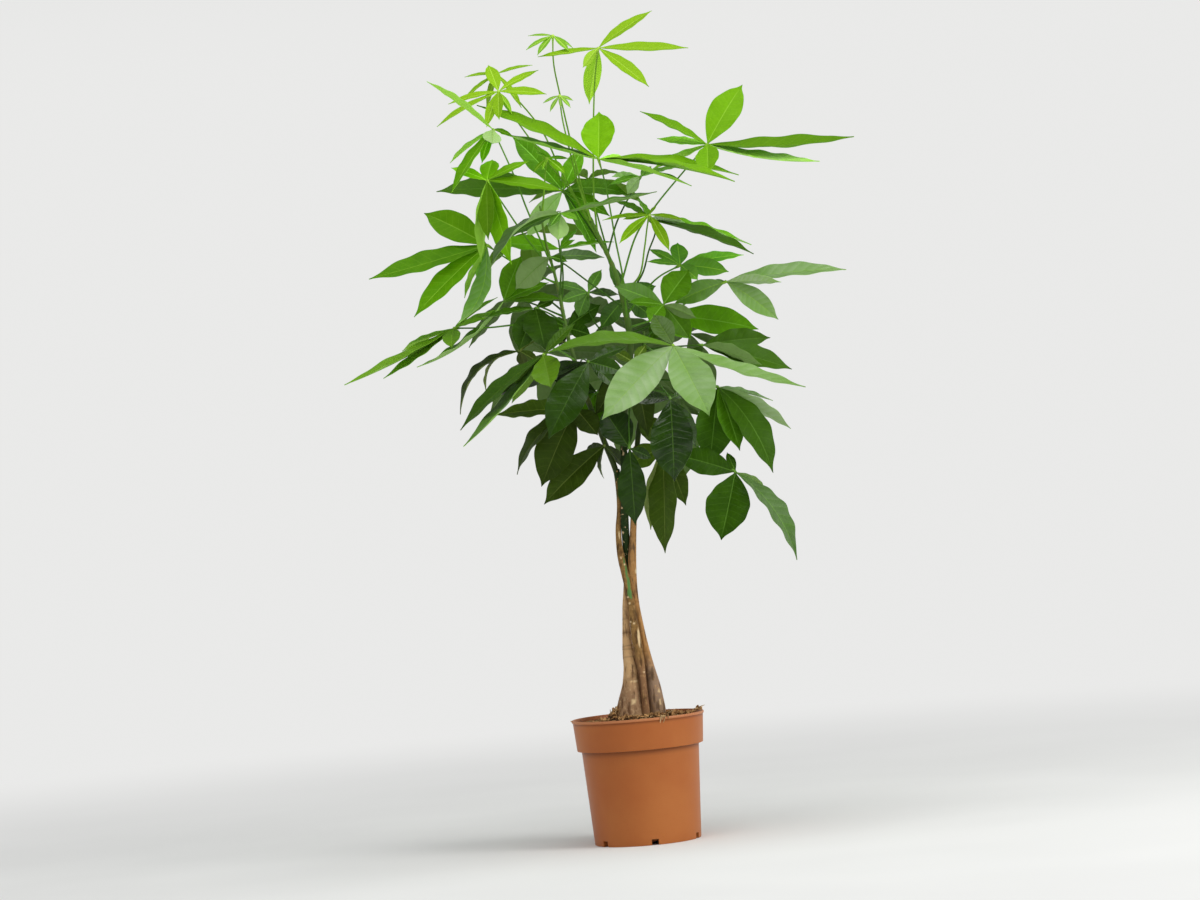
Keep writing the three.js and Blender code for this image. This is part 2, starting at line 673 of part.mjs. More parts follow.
// The way a leaf's upper side looks, from how far it leans to the front and to the right.
function facing([front, right]) {
  const [a, b] = [front * RADIAN, right * RADIAN];
  return new V(Math.sin(b), -Math.sin(a), Math.cos(a) * Math.cos(b)).normalize();
}

// The way a blade's upper side looks: turned about its rib until the blade looks as wide
// from the front as it should, and of the two ways to do that, the one more like its leaf.
function bladeNormal(along, face, shown, width) {
  if (!shown) {
    return face.clone().addScaledVector(along, -face.dot(along)).normalize();
  }
  const front = TOWARDS_EYE.clone().addScaledVector(along, -TOWARDS_EYE.dot(along)).normalize();
  const aside = new V().crossVectors(along, front);
  const cosine = shown / width;
  const sine = Math.sqrt(1 - cosine * cosine) * Math.sign(aside.dot(face) || 1);
  return front.multiplyScalar(cosine).addScaledVector(aside, sine);
}

// A blade's half width along its rib, from its stalk to its pointed tip, beside its widest.
function outline(t) {
  return Math.sin(Math.PI * t ** 1.05) ** 0.9 * (1 - 0.35 * t ** 10);
}

// One blade from hub to tip, a folded lens in section, arched towards its upper side.
function bladeSolid(hub, tip, { face, shown, breadth, arch }, margin = 0) {
  const length = hub.distanceTo(tip);
  const along = tip.clone().sub(hub).normalize();
  const width = Math.max(breadth * length, 1.04 * Math.abs(shown));
  const normal = bladeNormal(along, face, shown, width);
  const lift = bladeNormal(along, face, 0, 0);
  const middle = hub.clone().lerp(tip, 0.5).addScaledVector(lift, 2 * arch * length);
  const base = hub.clone().addScaledVector(along, BLADE.start);
  const rib = new THREE.QuadraticBezierCurve3(base, middle, tip);
  const steps = BLADE_STEPS.find(([longest]) => length < longest)[1];
  const rings = [];
  for (let i = 0; i < steps; i += 1) {
    const t = i / steps;
    const centre = rib.getPoint(t);
    const ahead = rib.getTangent(t);
    const side = new V().crossVectors(ahead, normal).normalize();
    const up = new V().crossVectors(side, ahead);
    const half = Math.max(BLADE.root, (width / 2) * outline(t)) + margin;
    const wave = i > 1 ? BLADE.wave * (i % 2 ? 1 : -1) : 0;
    const rise = (BLADE.fold + wave) * half;
    const edge = (way) => centre.clone().addScaledVector(side, way * half).addScaledVector(up, rise);
    const rim = (way) => centre.clone().addScaledVector(up, way * (BLADE.rib / 2 + margin));
    rings.push([edge(-1), rim(1), edge(1), rim(-1)]);
  }
  const end = tip.clone().addScaledVector(along, margin);
  return loft(rings, end, true);
}

// A leaf's stalk, from inside its shoot to the knob that carries the blades.
function stalkSolid(points, margin = 0) {
  const curve = new THREE.CatmullRomCurve3(points, false, "centripetal");
  const total = curve.getLength();
  const count = 1 + points.length;
  const neck = 1 - STALK.knobLength / total;
  const stations = Array.from({ length: count }, (_, i) => (neck * i) / (count - 1));
  const rows = stations.map((t) => [t, STALK.foot + (STALK.top - STALK.foot) * t]);
  rows.push([1 - (0.45 * STALK.knobLength) / total, STALK.knob], [1, STALK.knob * 0.8, STALK.past]);
  return loft(
    rows.map(([t, radius, past = 0]) => {
      const ahead = curve.getTangentAt(t);
      const centre = curve.getPointAt(t).addScaledVector(ahead, past);
      const side = new V().crossVectors(ahead, new V(0.3, 0.9, 0.2)).normalize();
      const up = new V().crossVectors(ahead, side);
      return Array.from({ length: STALK.sides }, (_, i) => {
        const turn = (2 * Math.PI * i) / STALK.sides;
        return centre
          .clone()
          .addScaledVector(side, (radius + margin) * Math.cos(turn))
          .addScaledVector(up, (radius + margin) * Math.sin(turn));
      });
    }),
  );
}

// The points of a leaf's stalk, its middle bent along Y by a share of its length.
function stalkPoints(leaf, bend) {
  const hub = seen(...leaf.hub);
  const root = onShoot(leaf.shoot, leaf.joins);
  const halfway = hub.clone().lerp(root, 0.5);
  const passed = leaf.stalk.length ? leaf.stalk.map((point) => seen(...point)).reverse() : [halfway];
  const outward = passed[0].clone().sub(root).setZ(0).normalize();
  root.addScaledVector(outward, STALK.rooting);
  const reach = hub.distanceTo(root);
  const points = [root, ...passed, hub];
  return points.map((point, i) => {
    const share = Math.sin((Math.PI * i) / (points.length - 1));
    return point.clone().add(new V(0, STALK.give * bend * reach * share, 0));
  });
}

// Each blade of a leaf as the place of its tip when it is bent by a share of its length.
function bladePlans(leaf) {
  const hub = seen(...leaf.hub);
  const face = facing(leaf.faces);
  const breadth = BREADTH[leaf.age];
  if (leaf.blades) {
    return leaf.blades.map(([x, z, shown, recede, arch = BLADE.arch]) => {
      const across = Math.hypot(x - leaf.hub[0], z - leaf.hub[1]);
      const tip = (bend) => seen(x, z, leaf.hub[2] + (recede + bend) * across);
      return { tip, face, shown, breadth, arch };
    });
  }
  const [count, length] = leaf.fan;
  const ahead = hub.clone().sub(onShoot(leaf.shoot, leaf.joins)).setZ(0);
  const forward = bladeNormal(face, ahead, 0, 0);
  const aside = new V().crossVectors(face, forward);
  return Array.from({ length: count }, (_, i) => {
    const turn = FAN_TURN * (i / (count - 1) - 0.5);
    const reach = length * (1 - (1 - FAN_OUTER) * Math.abs(i / (count - 1) - 0.5) * 2);
    const tip = (bend) => {
      const droop = FAN_DROOP - bend;
      return hub
        .clone()
        .addScaledVector(forward, reach * Math.cos(droop) * Math.cos(turn))
        .addScaledVector(aside, reach * Math.cos(droop) * Math.sin(turn))
        .addScaledVector(face, -reach * Math.sin(droop));
    };
    return { tip, face, shown: 0, breadth, arch: FAN_ARCH };
  });
}

// ---- putting the plant together ----

// Whether a solid is clear of all of the others, by more than a speck.
function isClear(piece, others) {
  const box = piece.boundingBox();
  return others.every((other) => {
    const apart = [0, 1, 2].some((k) => box.max[k] < other.box.min[k] || other.box.max[k] < box.min[k]);
    return apart || piece.intersect(other.piece).volume() < other.allowed;
  });
}

function obstacle(piece, allowed = SPECK) {
  return { piece, box: piece.boundingBox(), allowed };
}

function firstClear(name, make, others) {
  const bend = BENDS.find((share) => isClear(make(share, GAP), others));
  if (bend === undefined) {
    throw new Error(`${name} is not clear of its neighbours`);
  }
  return make(bend, 0);
}

const trunkNames = Object.keys(TRUNKS);
const trunks = {};
const grownTrunks = trunkNames.map((name) => upright(TRUNKS[name], TRUNK_SIDES, GAP));
trunkNames.forEach((name, i) => {
  const whole = upright(TRUNKS[name], TRUNK_SIDES);
  trunks[name] = mainPiece(grownTrunks.slice(0, i).reduce((left, other) => left.subtract(other), whole));
});

const shoots = {};
const grownShoots = {};
for (const [name, rows] of Object.entries(SHOOTS)) {
  shoots[name] = mainPiece(
    grownTrunks.reduce((left, trunk) => left.subtract(trunk), upright(rows, SHOOT_SIDES)),
  );
  grownShoots[name] = upright(rows, SHOOT_SIDES, GAP);
}

const pot = potSolid();
const soil = mainPiece(grownTrunks.reduce((left, trunk) => left.subtract(trunk), soilSolid()));

const wood = Object.values(trunks).map((trunk) => obstacle(trunk));
const green = Object.fromEntries(Object.entries(shoots).map(([name, shoot]) => [name, obstacle(shoot)]));
const stalks = {};
const laidStalks = [];
for (const leaf of LEAVES) {
  const others = Object.keys(green).filter((name) => name !== leaf.shoot);
  const neighbours = [...wood, ...others.map((name) => green[name]), ...laidStalks];
  const make = (bend, margin) => stalkSolid(stalkPoints(leaf, bend), margin);
  stalks[leaf.name] = firstClear(`the stalk of ${leaf.name}`, make, neighbours);
  laidStalks.push(obstacle(stalks[leaf.name]));
}

const HUB_OVERLAP = 25; // cubic millimetres that two blades of one leaf share at its hub
const leaves = {};
const laidLeaves = [obstacle(pot), obstacle(soil), ...wood, ...Object.values(green)];
LEAVES.forEach((leaf, i) => {
  const hub = seen(...leaf.hub);
  const ownBlades = [];
  const otherStalks = laidStalks.filter((_, j) => j !== i);
  for (const plan of bladePlans(leaf)) {
    const make = (bend, margin) => bladeSolid(hub, plan.tip(bend), plan, margin);
    const neighbours = [...laidLeaves, ...otherStalks, ...ownBlades];
    const blade = firstClear(`blade ${ownBlades.length + 1} of ${leaf.name}`, make, neighbours);
    ownBlades.push(obstacle(blade, HUB_OVERLAP));
  }
  const whole = ownBlades.reduce((left, blade) => left.add(blade.piece), stalks[leaf.name]);
  leaves[leaf.name] = mainPiece(whole.subtract(grownShoots[leaf.shoot]));
  laidLeaves.push(...ownBlades.map((blade) => obstacle(blade.piece)));
});

// ---- materials and meshes ----

const MATERIALS = {
  pot: new THREE.MeshStandardMaterial({ color: 0xb46a3c, roughness: 0.5 }),
  soil: new THREE.MeshStandardMaterial({ color: 0x3d2a1c, roughness: 0.95 }),
  bark: new THREE.MeshStandardMaterial({ color: 0x8d7052, roughness: 0.85 }),
  shoot: new THREE.MeshStandardMaterial({ color: 0x567a2c, roughness: 0.5 }),
  young: new THREE.MeshStandardMaterial({ color: 0x86b81e, roughness: 0.45, side: THREE.DoubleSide }),
  fresh: new THREE.MeshStandardMaterial({ color: 0x5d9a1f, roughness: 0.4, side: THREE.DoubleSide }),
  mature: new THREE.MeshStandardMaterial({ color: 0x2f6116, roughness: 0.35, side: THREE.DoubleSide }),
};

function mesh(name, piece, material) {
  const { vertProperties, triVerts } = piece.getMesh();
  const geometry = new THREE.BufferGeometry();
  geometry.setAttribute("position", new THREE.BufferAttribute(new Float32Array(vertProperties), 3));
  geometry.setIndex(new THREE.BufferAttribute(new Uint32Array(triVerts), 1));
  geometry.computeVertexNormals();
  const made = new THREE.Mesh(geometry, material);
  made.name = name;
  return made;
}

const plant = new THREE.Group();
plant.add(mesh("pot", pot, MATERIALS.pot));
plant.add(mesh("soil", soil, MATERIALS.soil));
for (const [name, trunk] of Object.entries(trunks)) {
  plant.add(mesh(`trunk_${name}`, trunk, MATERIALS.bark));
}
for (const [name, shoot] of Object.entries(shoots)) {
  plant.add(mesh(`shoot_${name}`, shoot, MATERIALS.shoot));
}
for (const leaf of LEAVES) {
  plant.add(mesh(leaf.name, leaves[leaf.name], MATERIALS[leaf.age]));
}

export default plant;
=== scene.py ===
import math
import random
from collections import namedtuple
from types import SimpleNamespace

import bpy
import numpy as np
from mathutils import Euler, Matrix, Vector


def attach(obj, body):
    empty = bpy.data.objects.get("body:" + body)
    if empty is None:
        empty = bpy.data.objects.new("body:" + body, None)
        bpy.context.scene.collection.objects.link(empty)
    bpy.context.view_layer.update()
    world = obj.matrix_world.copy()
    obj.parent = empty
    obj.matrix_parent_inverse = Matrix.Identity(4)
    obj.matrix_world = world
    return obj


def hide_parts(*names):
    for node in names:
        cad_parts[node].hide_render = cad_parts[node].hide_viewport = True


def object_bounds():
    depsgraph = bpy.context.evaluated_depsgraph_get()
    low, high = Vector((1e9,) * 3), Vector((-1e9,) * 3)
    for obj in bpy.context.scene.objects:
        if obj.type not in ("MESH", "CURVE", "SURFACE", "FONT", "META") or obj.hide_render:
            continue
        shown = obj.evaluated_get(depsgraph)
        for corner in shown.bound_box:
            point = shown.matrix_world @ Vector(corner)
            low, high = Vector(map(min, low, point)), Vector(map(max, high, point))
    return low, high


# The looks of the potted money tree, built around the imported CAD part.
# Shapes are worked out in millimetres, in the part's own frame, and become metres in a mesh.

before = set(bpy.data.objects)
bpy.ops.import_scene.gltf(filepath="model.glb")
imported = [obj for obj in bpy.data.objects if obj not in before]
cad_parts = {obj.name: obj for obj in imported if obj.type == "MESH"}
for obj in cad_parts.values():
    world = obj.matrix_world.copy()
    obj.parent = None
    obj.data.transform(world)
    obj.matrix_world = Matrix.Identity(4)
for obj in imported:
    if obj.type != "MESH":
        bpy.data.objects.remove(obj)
bounds_at_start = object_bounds()
MM = 0.001

# ---- dimensions, as in the part ----

EYE = Vector((-19, -4366, 425))
TOWARDS_EYE = Vector((0, -1, 0))
TUBE_SIDE = Vector((0.3, 0.9, 0.2))  # every tube's first point is at a right angle to this
FULL_TURN = 6.28  # near enough for waves and for ways that are drawn at random
CURVE_STEPS = 200
POT_SMOOTH = 35  # degrees up to which the pot's edges are shaded smooth
POT = SimpleNamespace(
    height=161, rim=85, rim_foot=81, rim_depth=40, shoulder=75.3, foot=68.3, wall=2.1, floor=6.5,
    recess=3.5, foot_ring=8, drains=6, drain_width=9,
)
SOIL = SimpleNamespace(
    level=154, heap=8, heap_radius=36, gap=1.7, chips=430, chip_reach=80, roots=70, hanging_roots=9
)
BLADE = SimpleNamespace(fold=0.16, start=1.2, arch=0.03, thickness=0.45)
STALK = SimpleNamespace(top=0.95, foot=1.35, knob_length=4.5, past=1.6, rooting=1.8, give=0.25)
# Places across a blade, from edge to edge.
ACROSS = [-1, -0.8, -0.55, -0.3, -0.1, 0, 0.1, 0.3, 0.55, 0.8, 1]
SMALL_BLADE = 45
SIDE_VEINS = (7, 11)  # of a blade shorter than SMALL_BLADE, and of a longer one
VEIN_SLANT = 0.10  # how far a side vein runs on towards the tip, beside the blade's length
QUILT = 0.011  # height of the puckers between the veins, beside the blade's width
MIDRIB_SINK = 0.05  # depth of the midrib's channel, beside the blade's half width
# How wide a grown blade is, and how far its edge waves, beside its length and its half width.
BREADTH = {"young": 0.25, "fresh": 0.29, "mature": 0.33}
WAVE = {"young": 0.03, "fresh": 0.05, "mature": 0.07}
# Steps by which a blade or a stalk gives way in the part until it is clear of its neighbours.
BENDS = [0, -0.1, 0.1, -0.2, 0.2, -0.3, 0.3, -0.42, 0.42, -0.55, 0.55, -0.7, 0.7, -0.9, 0.9]
# Leaves on the far side: how far round their blades stand, how far these droop, how long
# the outermost is beside the middle one, and their arch.
FAN = SimpleNamespace(turn=math.radians(300), droop=math.radians(18), outer=0.72, arch=0.07)

# Trunks and shoots: x, y, z and radius.
TRUNKS = {
    "left": [
        (-9, 1, 126, 15), (-9, 1, 148, 19), (-9, 1, 160, 19.5), (-8.3, 1, 170, 17.3),
        (-7.2, 1, 181, 15.5), (-5.6, 1, 192, 13.6), (-4.3, 1, 204, 11.5), (-3.7, 1, 222, 9.3),
        (-5, 1.5, 242, 7.3), (-5.2, 2.2, 262, 5.7), (-4.5, 4.2, 282, 4.6), (-2.8, 6.8, 302, 4.5),
        (0.2, 8.8, 324, 4.4), (2.8, 8.2, 350, 4.5), (4.2, 4, 380, 4.8), (5, -1, 412, 5),
        (8, -4, 450, 4.6), (11.5, -3, 500, 4.5), (16, 0, 548, 4.3),
    ],
    "middle": [
        (10.5, -9, 126, 6.4), (11, -9.5, 152, 5.5), (11.3, -10, 175, 4.6), (10.3, -10, 200, 4.6),
        (9.8, -9.2, 222, 4.9), (8.2, -8, 242, 6), (6.6, -7, 262, 6.1), (5.4, -5.6, 282, 5.5),
        (4.2, -4.2, 302, 5.1), (2.4, -3.2, 320, 4.5), (-0.2, -2.6, 342, 5), (-3.4, -2.2, 362, 4.7),
        (-4.8, -0.5, 382, 3.9), (-3.9, 3, 402, 3.7), (0, 5, 425, 4), (1, 6, 450, 4), (0, 6, 478, 4.1),
    ],
    "right": [
        (25, 4, 126, 11.5), (26, 4, 148, 11.5), (26.2, 4, 162, 10.8), (25, 4, 180, 10.2),
        (23, 4, 200, 9), (20.6, 3, 220, 6.7), (18.3, 2, 240, 4.9), (16, 1.5, 260, 3.8),
        (13.3, 0.5, 280, 3.7), (11, 0, 300, 3.7), (9.8, -0.8, 320, 4.1), (9.3, -1.4, 340, 4.9),
        (10.1, -1.6, 360, 5.3), (12.4, -1.4, 380, 4.7), (15, -1.2, 400, 4.2), (19, -1, 432, 4.2),
        (24, 0, 470, 4), (28, 1, 505, 3.9),
    ],
}
SHOOTS = {
    "left": [
        (1.5, 6, 462, 3.2), (-2.5, 5, 482, 3.8), (-10, 1, 506, 3.9), (-18, -4, 532, 3.6),
        (-30, -9, 572, 3.2), (-42, -12, 622, 2.8), (-49, -14, 662, 2.4), (-53, -15, 700, 2.1),
        (-58, -16, 735, 1.9), (-64, -16, 765, 1.8), (-67, -17, 790, 1.6), (-69, -18, 822, 1.3),
    ],
    "middle": [
        (14, -0.5, 530, 3.4), (17.5, 1, 556, 4.2), (25, 4, 590, 4.4), (31, 7, 630, 4.3),
        (31, 8, 660, 4.1), (27, 8, 695, 3.7), (20, 6, 730, 3.2), (9, 4, 762, 2.7), (-1, 2, 788, 2.3),
        (-6, 1, 804, 1.8),
    ],
    "right": [
        (27, 1, 492, 3), (31, 3, 516, 3.6), (38, 7, 548, 3.5), (44, 10, 584, 3.2), (48, 12, 620, 2.8),
        (50, 14, 652, 2),
    ],
}

# Leaves, each named leaf_ and its name here. joins is the height of its joint on its shoot,
# hub is x, z and depth, and lean is how its upper side leans to the front and to the right.
# via is points that the stalk passes. A blade is tip x, tip z, width as it looks from the
# front, way back for each mm sideways, and arch; a leaf that the front doesn't show has the
# number and the length of its blades instead. tone is how light its colour is from 0 to 1,
# and gain is how much brighter it is than its age's colours; both are partly the leaf's own
# colour and partly painted light and shade for how brightly each blade is lit. sheen is how
# much of its colour gives way to a pale painted sheen, a painted reflection of bright light
# on its glossy surface. These are one number, or one for each blade.

Leaf = namedtuple("Leaf", "name age shoot joins hub lean via blades tone gain sheen")
LEAVES = [Leaf(*row) for row in [
    ("top", "young", "middle", 777, (23, 1020, -6), (15, 0),
     [(16, 985, -5), (10, 938, -3), (5, 885, 0), (1, 830, 2)],
     [(96, 1062, 15, 0.5, 0.02), (139, 1010, 15, -0.1, 0), (84, 964, 18, -0.6, 0.02),
      (5, 948, -22, 0.9), (-56, 1015, 9, 0.1, 0), (1, 996, -12, -0.5)],
     0.85, (1, 1, 1, 1.45, 1, 0.85), 0),
    ("tip_left", "young", "middle", 792, (-34, 1041, 16), (10, 0),
     [(-36, 1005, 15), (-31, 962, 15), (-23, 905, 14), (-15, 850, 12)],
     [(-66, 1043, 3, 0.3), (-70, 1025, 6, -0.3), (-56, 1017, 8, -0.7), (-15, 1019, 8, -0.6),
      (-9, 1022, 4, 0.3)], 0.15, 1.4, 0.05),
    ("bud", "young", "middle", 799, (-32, 963, -8), (10, 0),
     [(-31, 935, -8), (-27, 905, -8), (-19, 855, -8)],
     [(-54, 955, 4, 0.2), (-46, 943, 5, -0.4), (-32, 947, 4, -0.9), (-19, 946, 5, -0.4),
      (-15, 955, 4, 0.3)], 0.35, (1.35, 1.35, 1, 1.35, 1.35), 0.1),
    ("upper_left_back", "young", "middle", 784, (-110, 998, 42), (5, 0),
     [(-98, 979, 38), (-60, 924, 28), (-38, 866, 20)],
     [(-152, 997, 5, 0.3), (-63, 1005, 5, 0.4), (-155, 968, 6, -0.2), (-82, 951, 8, -0.3),
      (-127, 956, 9, 0.8)], 0.6, 1.15, 0),
    ("upper_left_front", "young", "middle", 770, (-110, 975, 2), (20, 0),
     [(-100, 955, 2), (-88, 935, 4), (-62, 892, 8), (-30, 843, 9)],
     [(-120, 1010, 18, 1.5), (-56, 998, 10, 0.3), (-48, 966, 12, -0.3), (-176, 964, 9, 0.2),
      (-193, 936, 9, -0.3), (-129, 930, 14, -0.7), (-112, 938, 14, -1.3), (-95, 944, -8, -0.2)],
     0.75, 1.15, 0),
    ("high_middle", "fresh", "middle", 668, (11, 877, -36), (25, 0),
     [(17, 845, -31), (21, 805, -25), (24, 770, -16), (29, 725, -6)],
     [(17, 938, 43, 0.5), (-140, 960, 20, 0.1, 0.02), (-112, 921, 8, 0.4, 0),
      (190, 841, 14, 0.25, 0.04), (184, 833, 11, -0.25, 0.04), (128, 832, 4, -0.6),
      (45, 874, -7, 0.9)], 0.75, (1.65, 1.05, 1.65, 1.15, 1.2, 1.65, 2.6), (0, 0, 0.08, 0, 0, 0, 0)),
    ("high_left", "fresh", "left", 752, (-121, 927, -56), (0, -20),
     [(-113, 905, -52), (-98, 862, -42), (-86, 820, -32)],
     [(-201, 996, -6, -0.1, 0.02), (-180, 888, -3, 0.5), (-181, 850, 15, -0.2), (-139, 884, 13, 0.3),
      (-123, 908, -24, -1.4), (-96, 916, 7, 0.8)],
     0.15, (1.7, 1.7, 1.8, 2.6, 0.8, 0.85), (0, 0, 0, 0, 0.4, 0)),
    ("high_right", "fresh", "middle", 712, (152, 884, -12), (25, 0),
     [(113, 846, -10), (80, 812, -8), (52, 777, -2)],
     [(204, 957, 40, 0.4), (69, 934, 13, 0.1, 0.02), (88, 897, 12, 0.4, 0),
      (342, 878, 20, -0.05, -0.03), (295, 850, 14, -0.3, -0.04), (150, 846, 30, -1.8),
      (78, 858, -7, -0.2, 0)],
     (0.6, 0.6, 0.6, 0.6, 1, 0.6, 0.6), (1.3, 1.1, 2.6, 0.85, 1.9, 1.3, 1.3), (0, 0, 0.1, 0, 0.2, 0, 0)),
    ("bright_right", "young", "middle", 703, (70, 800, -36), (15, 0),
     [(66, 785, -34), (60, 757, -26), (50, 722, -12)],
     [(80, 811, 4, 0.9), (9, 798, 6, 0.2), (28, 766, 12, -0.4), (92, 751, 14, -0.5), (36, 797, 8, 0.7),
      (115, 789, 6, 0.2)], 0.65, (1, 1.35, 1.65, 1, 1, 1), 0),
    ("long_right", "mature", "middle", 694, (69, 795, -2), (25, 10),
     [(76, 780, -1), (65, 753, 1), (54, 724, 4)],
     [(26, 821, 9, 0.3, 0.08), (115, 786, -11, -0.3), (198, 750, 12, 0.4), (200, 738, 15, -0.05),
      (58, 822, 9, 1.4)], 0.95, (0.9, 3.5, 2.5, 0.7, 1.8), (0, 0.6, 0, 0, 0)),
    ("grey_middle", "mature", "middle", 756, (63, 850, 24), (-10, 0),
     [(48, 828, 21), (28, 795, 14)],
     [(22, 843, 9, 0.2), (26, 853, -7, 0.7), (44, 829, -16, -0.5), (112, 858, 7, 0.3),
      (78, 862, 9, 1.3)], 0.4, (2.8, 3.2, 1.4, 2.4, 1.8), (0, 0.15, 0.15, 0, 0)),
    ("dark_upper", "mature", "middle", 763, (-38, 840, 28), (15, 0),
     [(-24, 818, 20)],
     [(-201, 853, 34, 0.05, 0.03), (-97, 915, 32, 0.4), (-8, 892, 24, 0.4), (46, 827, 22, 0.15, 0.09),
      (-90, 783, -26, 0.1), (-2, 757, 20, 0.15), (20, 802, 18, -0.1)],
     (0.75, 0.25, 0.25, 0.25, 0.25, 0.25, 0.25), (1, 4, 3.7, 1.8, 2.3, 4.5, 3), (0, 0, 0, 0, 0.1, 0, 0)),
    ("young_left", "young", "left", 812, (-55, 884, -22), (10, 0),
     [(-59, 862, -21)],
     [(-74, 867, 5, -0.2), (-62, 870, 4, -0.9), (-33, 862, 10, -0.2), (-27, 881, 5, 0.3),
      (-68, 893, 4, 1.2)], 0.1, (1.3, 1.8, 1.8, 1.8, 1.8), 0),
    ("left_upper", "fresh", "left", 738, (-134, 862, -62), (30, -10),
     [(-112, 822, -54), (-94, 790, -44)],
     [(-179, 882, 13, 0.3), (-125, 888, 24, 1.3), (-78, 882, 11, 0.4), (-38, 840, 16, 0),
      (-151, 757, -14, -0.1), (-139, 785, 21, -0.5), (-112, 751, 25, -0.3)],
     0.5, (2.2, 1.9, 1.3, 1.05, 1.05, 0.85, 2), 0),
    ("left_wide", "fresh", "left", 722, (-141, 779, -30), (35, -15),
     [(-122, 763, -28), (-92, 742, -22)],
     [(-219, 827, 38, 0.4), (-297, 748, 27, 0, 0), (-243, 694, 29, -0.2), (-187, 682, 24, -0.4, -0.18),
      (-176, 713, -6, 0.4), (-156, 730, 16, 0.8)],
     0.25, (1.25, 1.25, 1.5, 1.7, 1.25, 2.6), (0, 0, 0, 0.15, 0, 0.1)),
    ("arching", "mature", "left", 706, (-44, 812, -70), (15, 0),
     [(-49, 790, -62), (-48, 750, -42)],
     [(-140, 748, 10, -0.5, 0.15), (-125, 783, 15, 0.1), (-50, 777, -27, -0.6), (83, 829, 6, 0.05, 0),
      (-58, 796, 12, -1.2), (-22, 801, 9, -1)],
     (0.15, 0.15, 0.15, 0.9, 0.15, 1), (1.35, 1.35, 1.35, 1.35, 2.8, 1.6), (0.05, 0, 0, 0, 0, 0)),
    ("inner_upper", "mature", "left", 694, (-48, 766, 12), (25, 0),
     [(-47, 735, 6)],
     [(-127, 779, 21, 0.05), (22, 769, 6, 0.2), (-28, 776, 6, -0.4), (-24, 790, 9, 1)], 0.8, 2.1, 0),
    ("grey_left", "mature", "middle", 684, (-62, 757, -30), (20, 0),
     [(-48, 749, -22), (-18, 723, -4)],
     [(8, 750, 15, 0.15), (-40, 749, 10, -0.4), (-110, 719, -33, -0.5)],
     0.1, (1.9, 2.5, 0.7), (0.08, 0, 0)),
    ("left_middle", "mature", "left", 679, (-126, 705, -32), (30, -10),
     [(-98, 702, -28)],
     [(-98, 762, 30, 0), (-66, 724, 15, 0.2), (-52, 702, 13, -0.2), (-245, 630, 6, -0.05, -0.09)],
     0.6, (1.8, 2.1, 1.1, 1.8), 0),
    ("far_left", "fresh", "left", 662, (-193, 676, -14), (15, -25),
     [(-150, 673, -13), (-100, 673, -13)],
     [(-340, 615, 11, 0, -0.02), (-289, 619, 12, -0.25, -0.02), (-198, 651, 23, -1.6),
      (-262, 652, -5, 0.5), (-133, 711, 7, 0.3), (-113, 694, 8, 0.6), (-150, 685, 7, -0.5)],
     0.8, (1.2, 1.2, 1, 1.2, 1.2, 1.2, 1.2), 0.03),
    ("dark_left", "mature", "left", 670, (-86, 693, -48), (40, 0),
     [(-70, 685, -36)],
     [(-78, 638, 44, -1.1), (-112, 640, 34, -0.6), (-152, 686, 9, 0.2), (-60, 702, 12, 0.5)],
     0.15, (0.65, 1.1, 1.6, 1.1), 0),
    ("drooping_left", "mature", "left", 644, (-112, 640, -22), (10, -20),
     [(-84, 652, -20)],
     [(-194, 564, 10, 0.1, 0.2), (-158, 587, 4, 0.5, 0.25), (-106, 618, -13, -0.6),
      (-88, 622, 13, 0.3)], 0.25, (1.1, 1.1, 0.35, 1.1), 0),
    ("front_left", "fresh", "left", 622, (-81, 632, -128), (40, -10),
     [(-72, 640, -98), (-58, 634, -54)],
     [(-75, 589, 37, -1.1), (-196, 544, 19, 0, 0.05), (-194, 523, 12, -0.3, -0.04),
      (-127, 573, -18, 0.2), (-37, 669, 13, 0.2)],
     (1, 0.12, 0.12, 0.12, 0.35), (0.65, 0.45, 0.9, 0.45, 0.45), (0, 0, 0.05, 0, 0)),
    ("hero", "fresh", "right", 634, (86, 630, -158), (45, 0),
     [(82, 622, -132), (70, 618, -74)],
     [(-14, 542, 48, -0.35), (125, 535, 52, -0.6), (252, 562, 16, 0, -0.04), (64, 672, 27, 0.7),
      (-80, 633, 18, 0.05, 0.1)], 0.6, (0.95, 0.95, 0.95, 0.4, 0.7), (0.25, 0.14, 0.2, 0, 0)),
    ("front_dark", "mature", "left", 606, (-24, 618, -72), (45, 0),
     [(-32, 622, -46)],
     [(-84, 523, 46, -0.3), (20, 601, 21, -0.5), (26, 633, 13, 0.4), (-70, 592, 19, 0.3),
      (9, 582, 16, 0.2), (-150, 583, 22, 0.45)], 0.2, (0.8, 1.1, 0.8, 0.3, 0.8, 0.35), 0),
    ("on_trunks", "mature", "middle", 592, (19, 503, -46), (60, 0),
     [(21, 535, -40), (26, 572, -22)],
     [(18, 403, 36, -0.1), (-10, 556, 42, 0.3), (46, 488, 14, 0.4)], 0.12, 0.72, 0),
    ("glossy", "mature", "right", 602, (77, 562, -84), (45, 0),
     [(68, 576, -60)],
     [(73, 455, 54, -0.3), (104, 498, 24, 0.1), (22, 566, 17, 0.2), (118, 575, 16, 0.4)],
     0, (0.88, 0.88, 0.4, 0.88), 0),
    ("low_right", "mature", "right", 548, (152, 461, -54), (45, 10),
     [(118, 488, -42), (76, 522, -22)],
     [(126, 375, 55, -0.3), (221, 341, 24, -0.05, 0.17), (188, 437, -9, 0.4), (143, 487, 11, 0.8),
      (77, 489, 34, 0.1)], 0.22, (1.2, 1.5, 1.2, 1.2, 0.95), (0, 0.08, 0, 0, 0)),
    ("right_lower", "mature", "right", 588, (139, 572, -24), (35, 10),
     [(108, 578, -20), (76, 586, -8)],
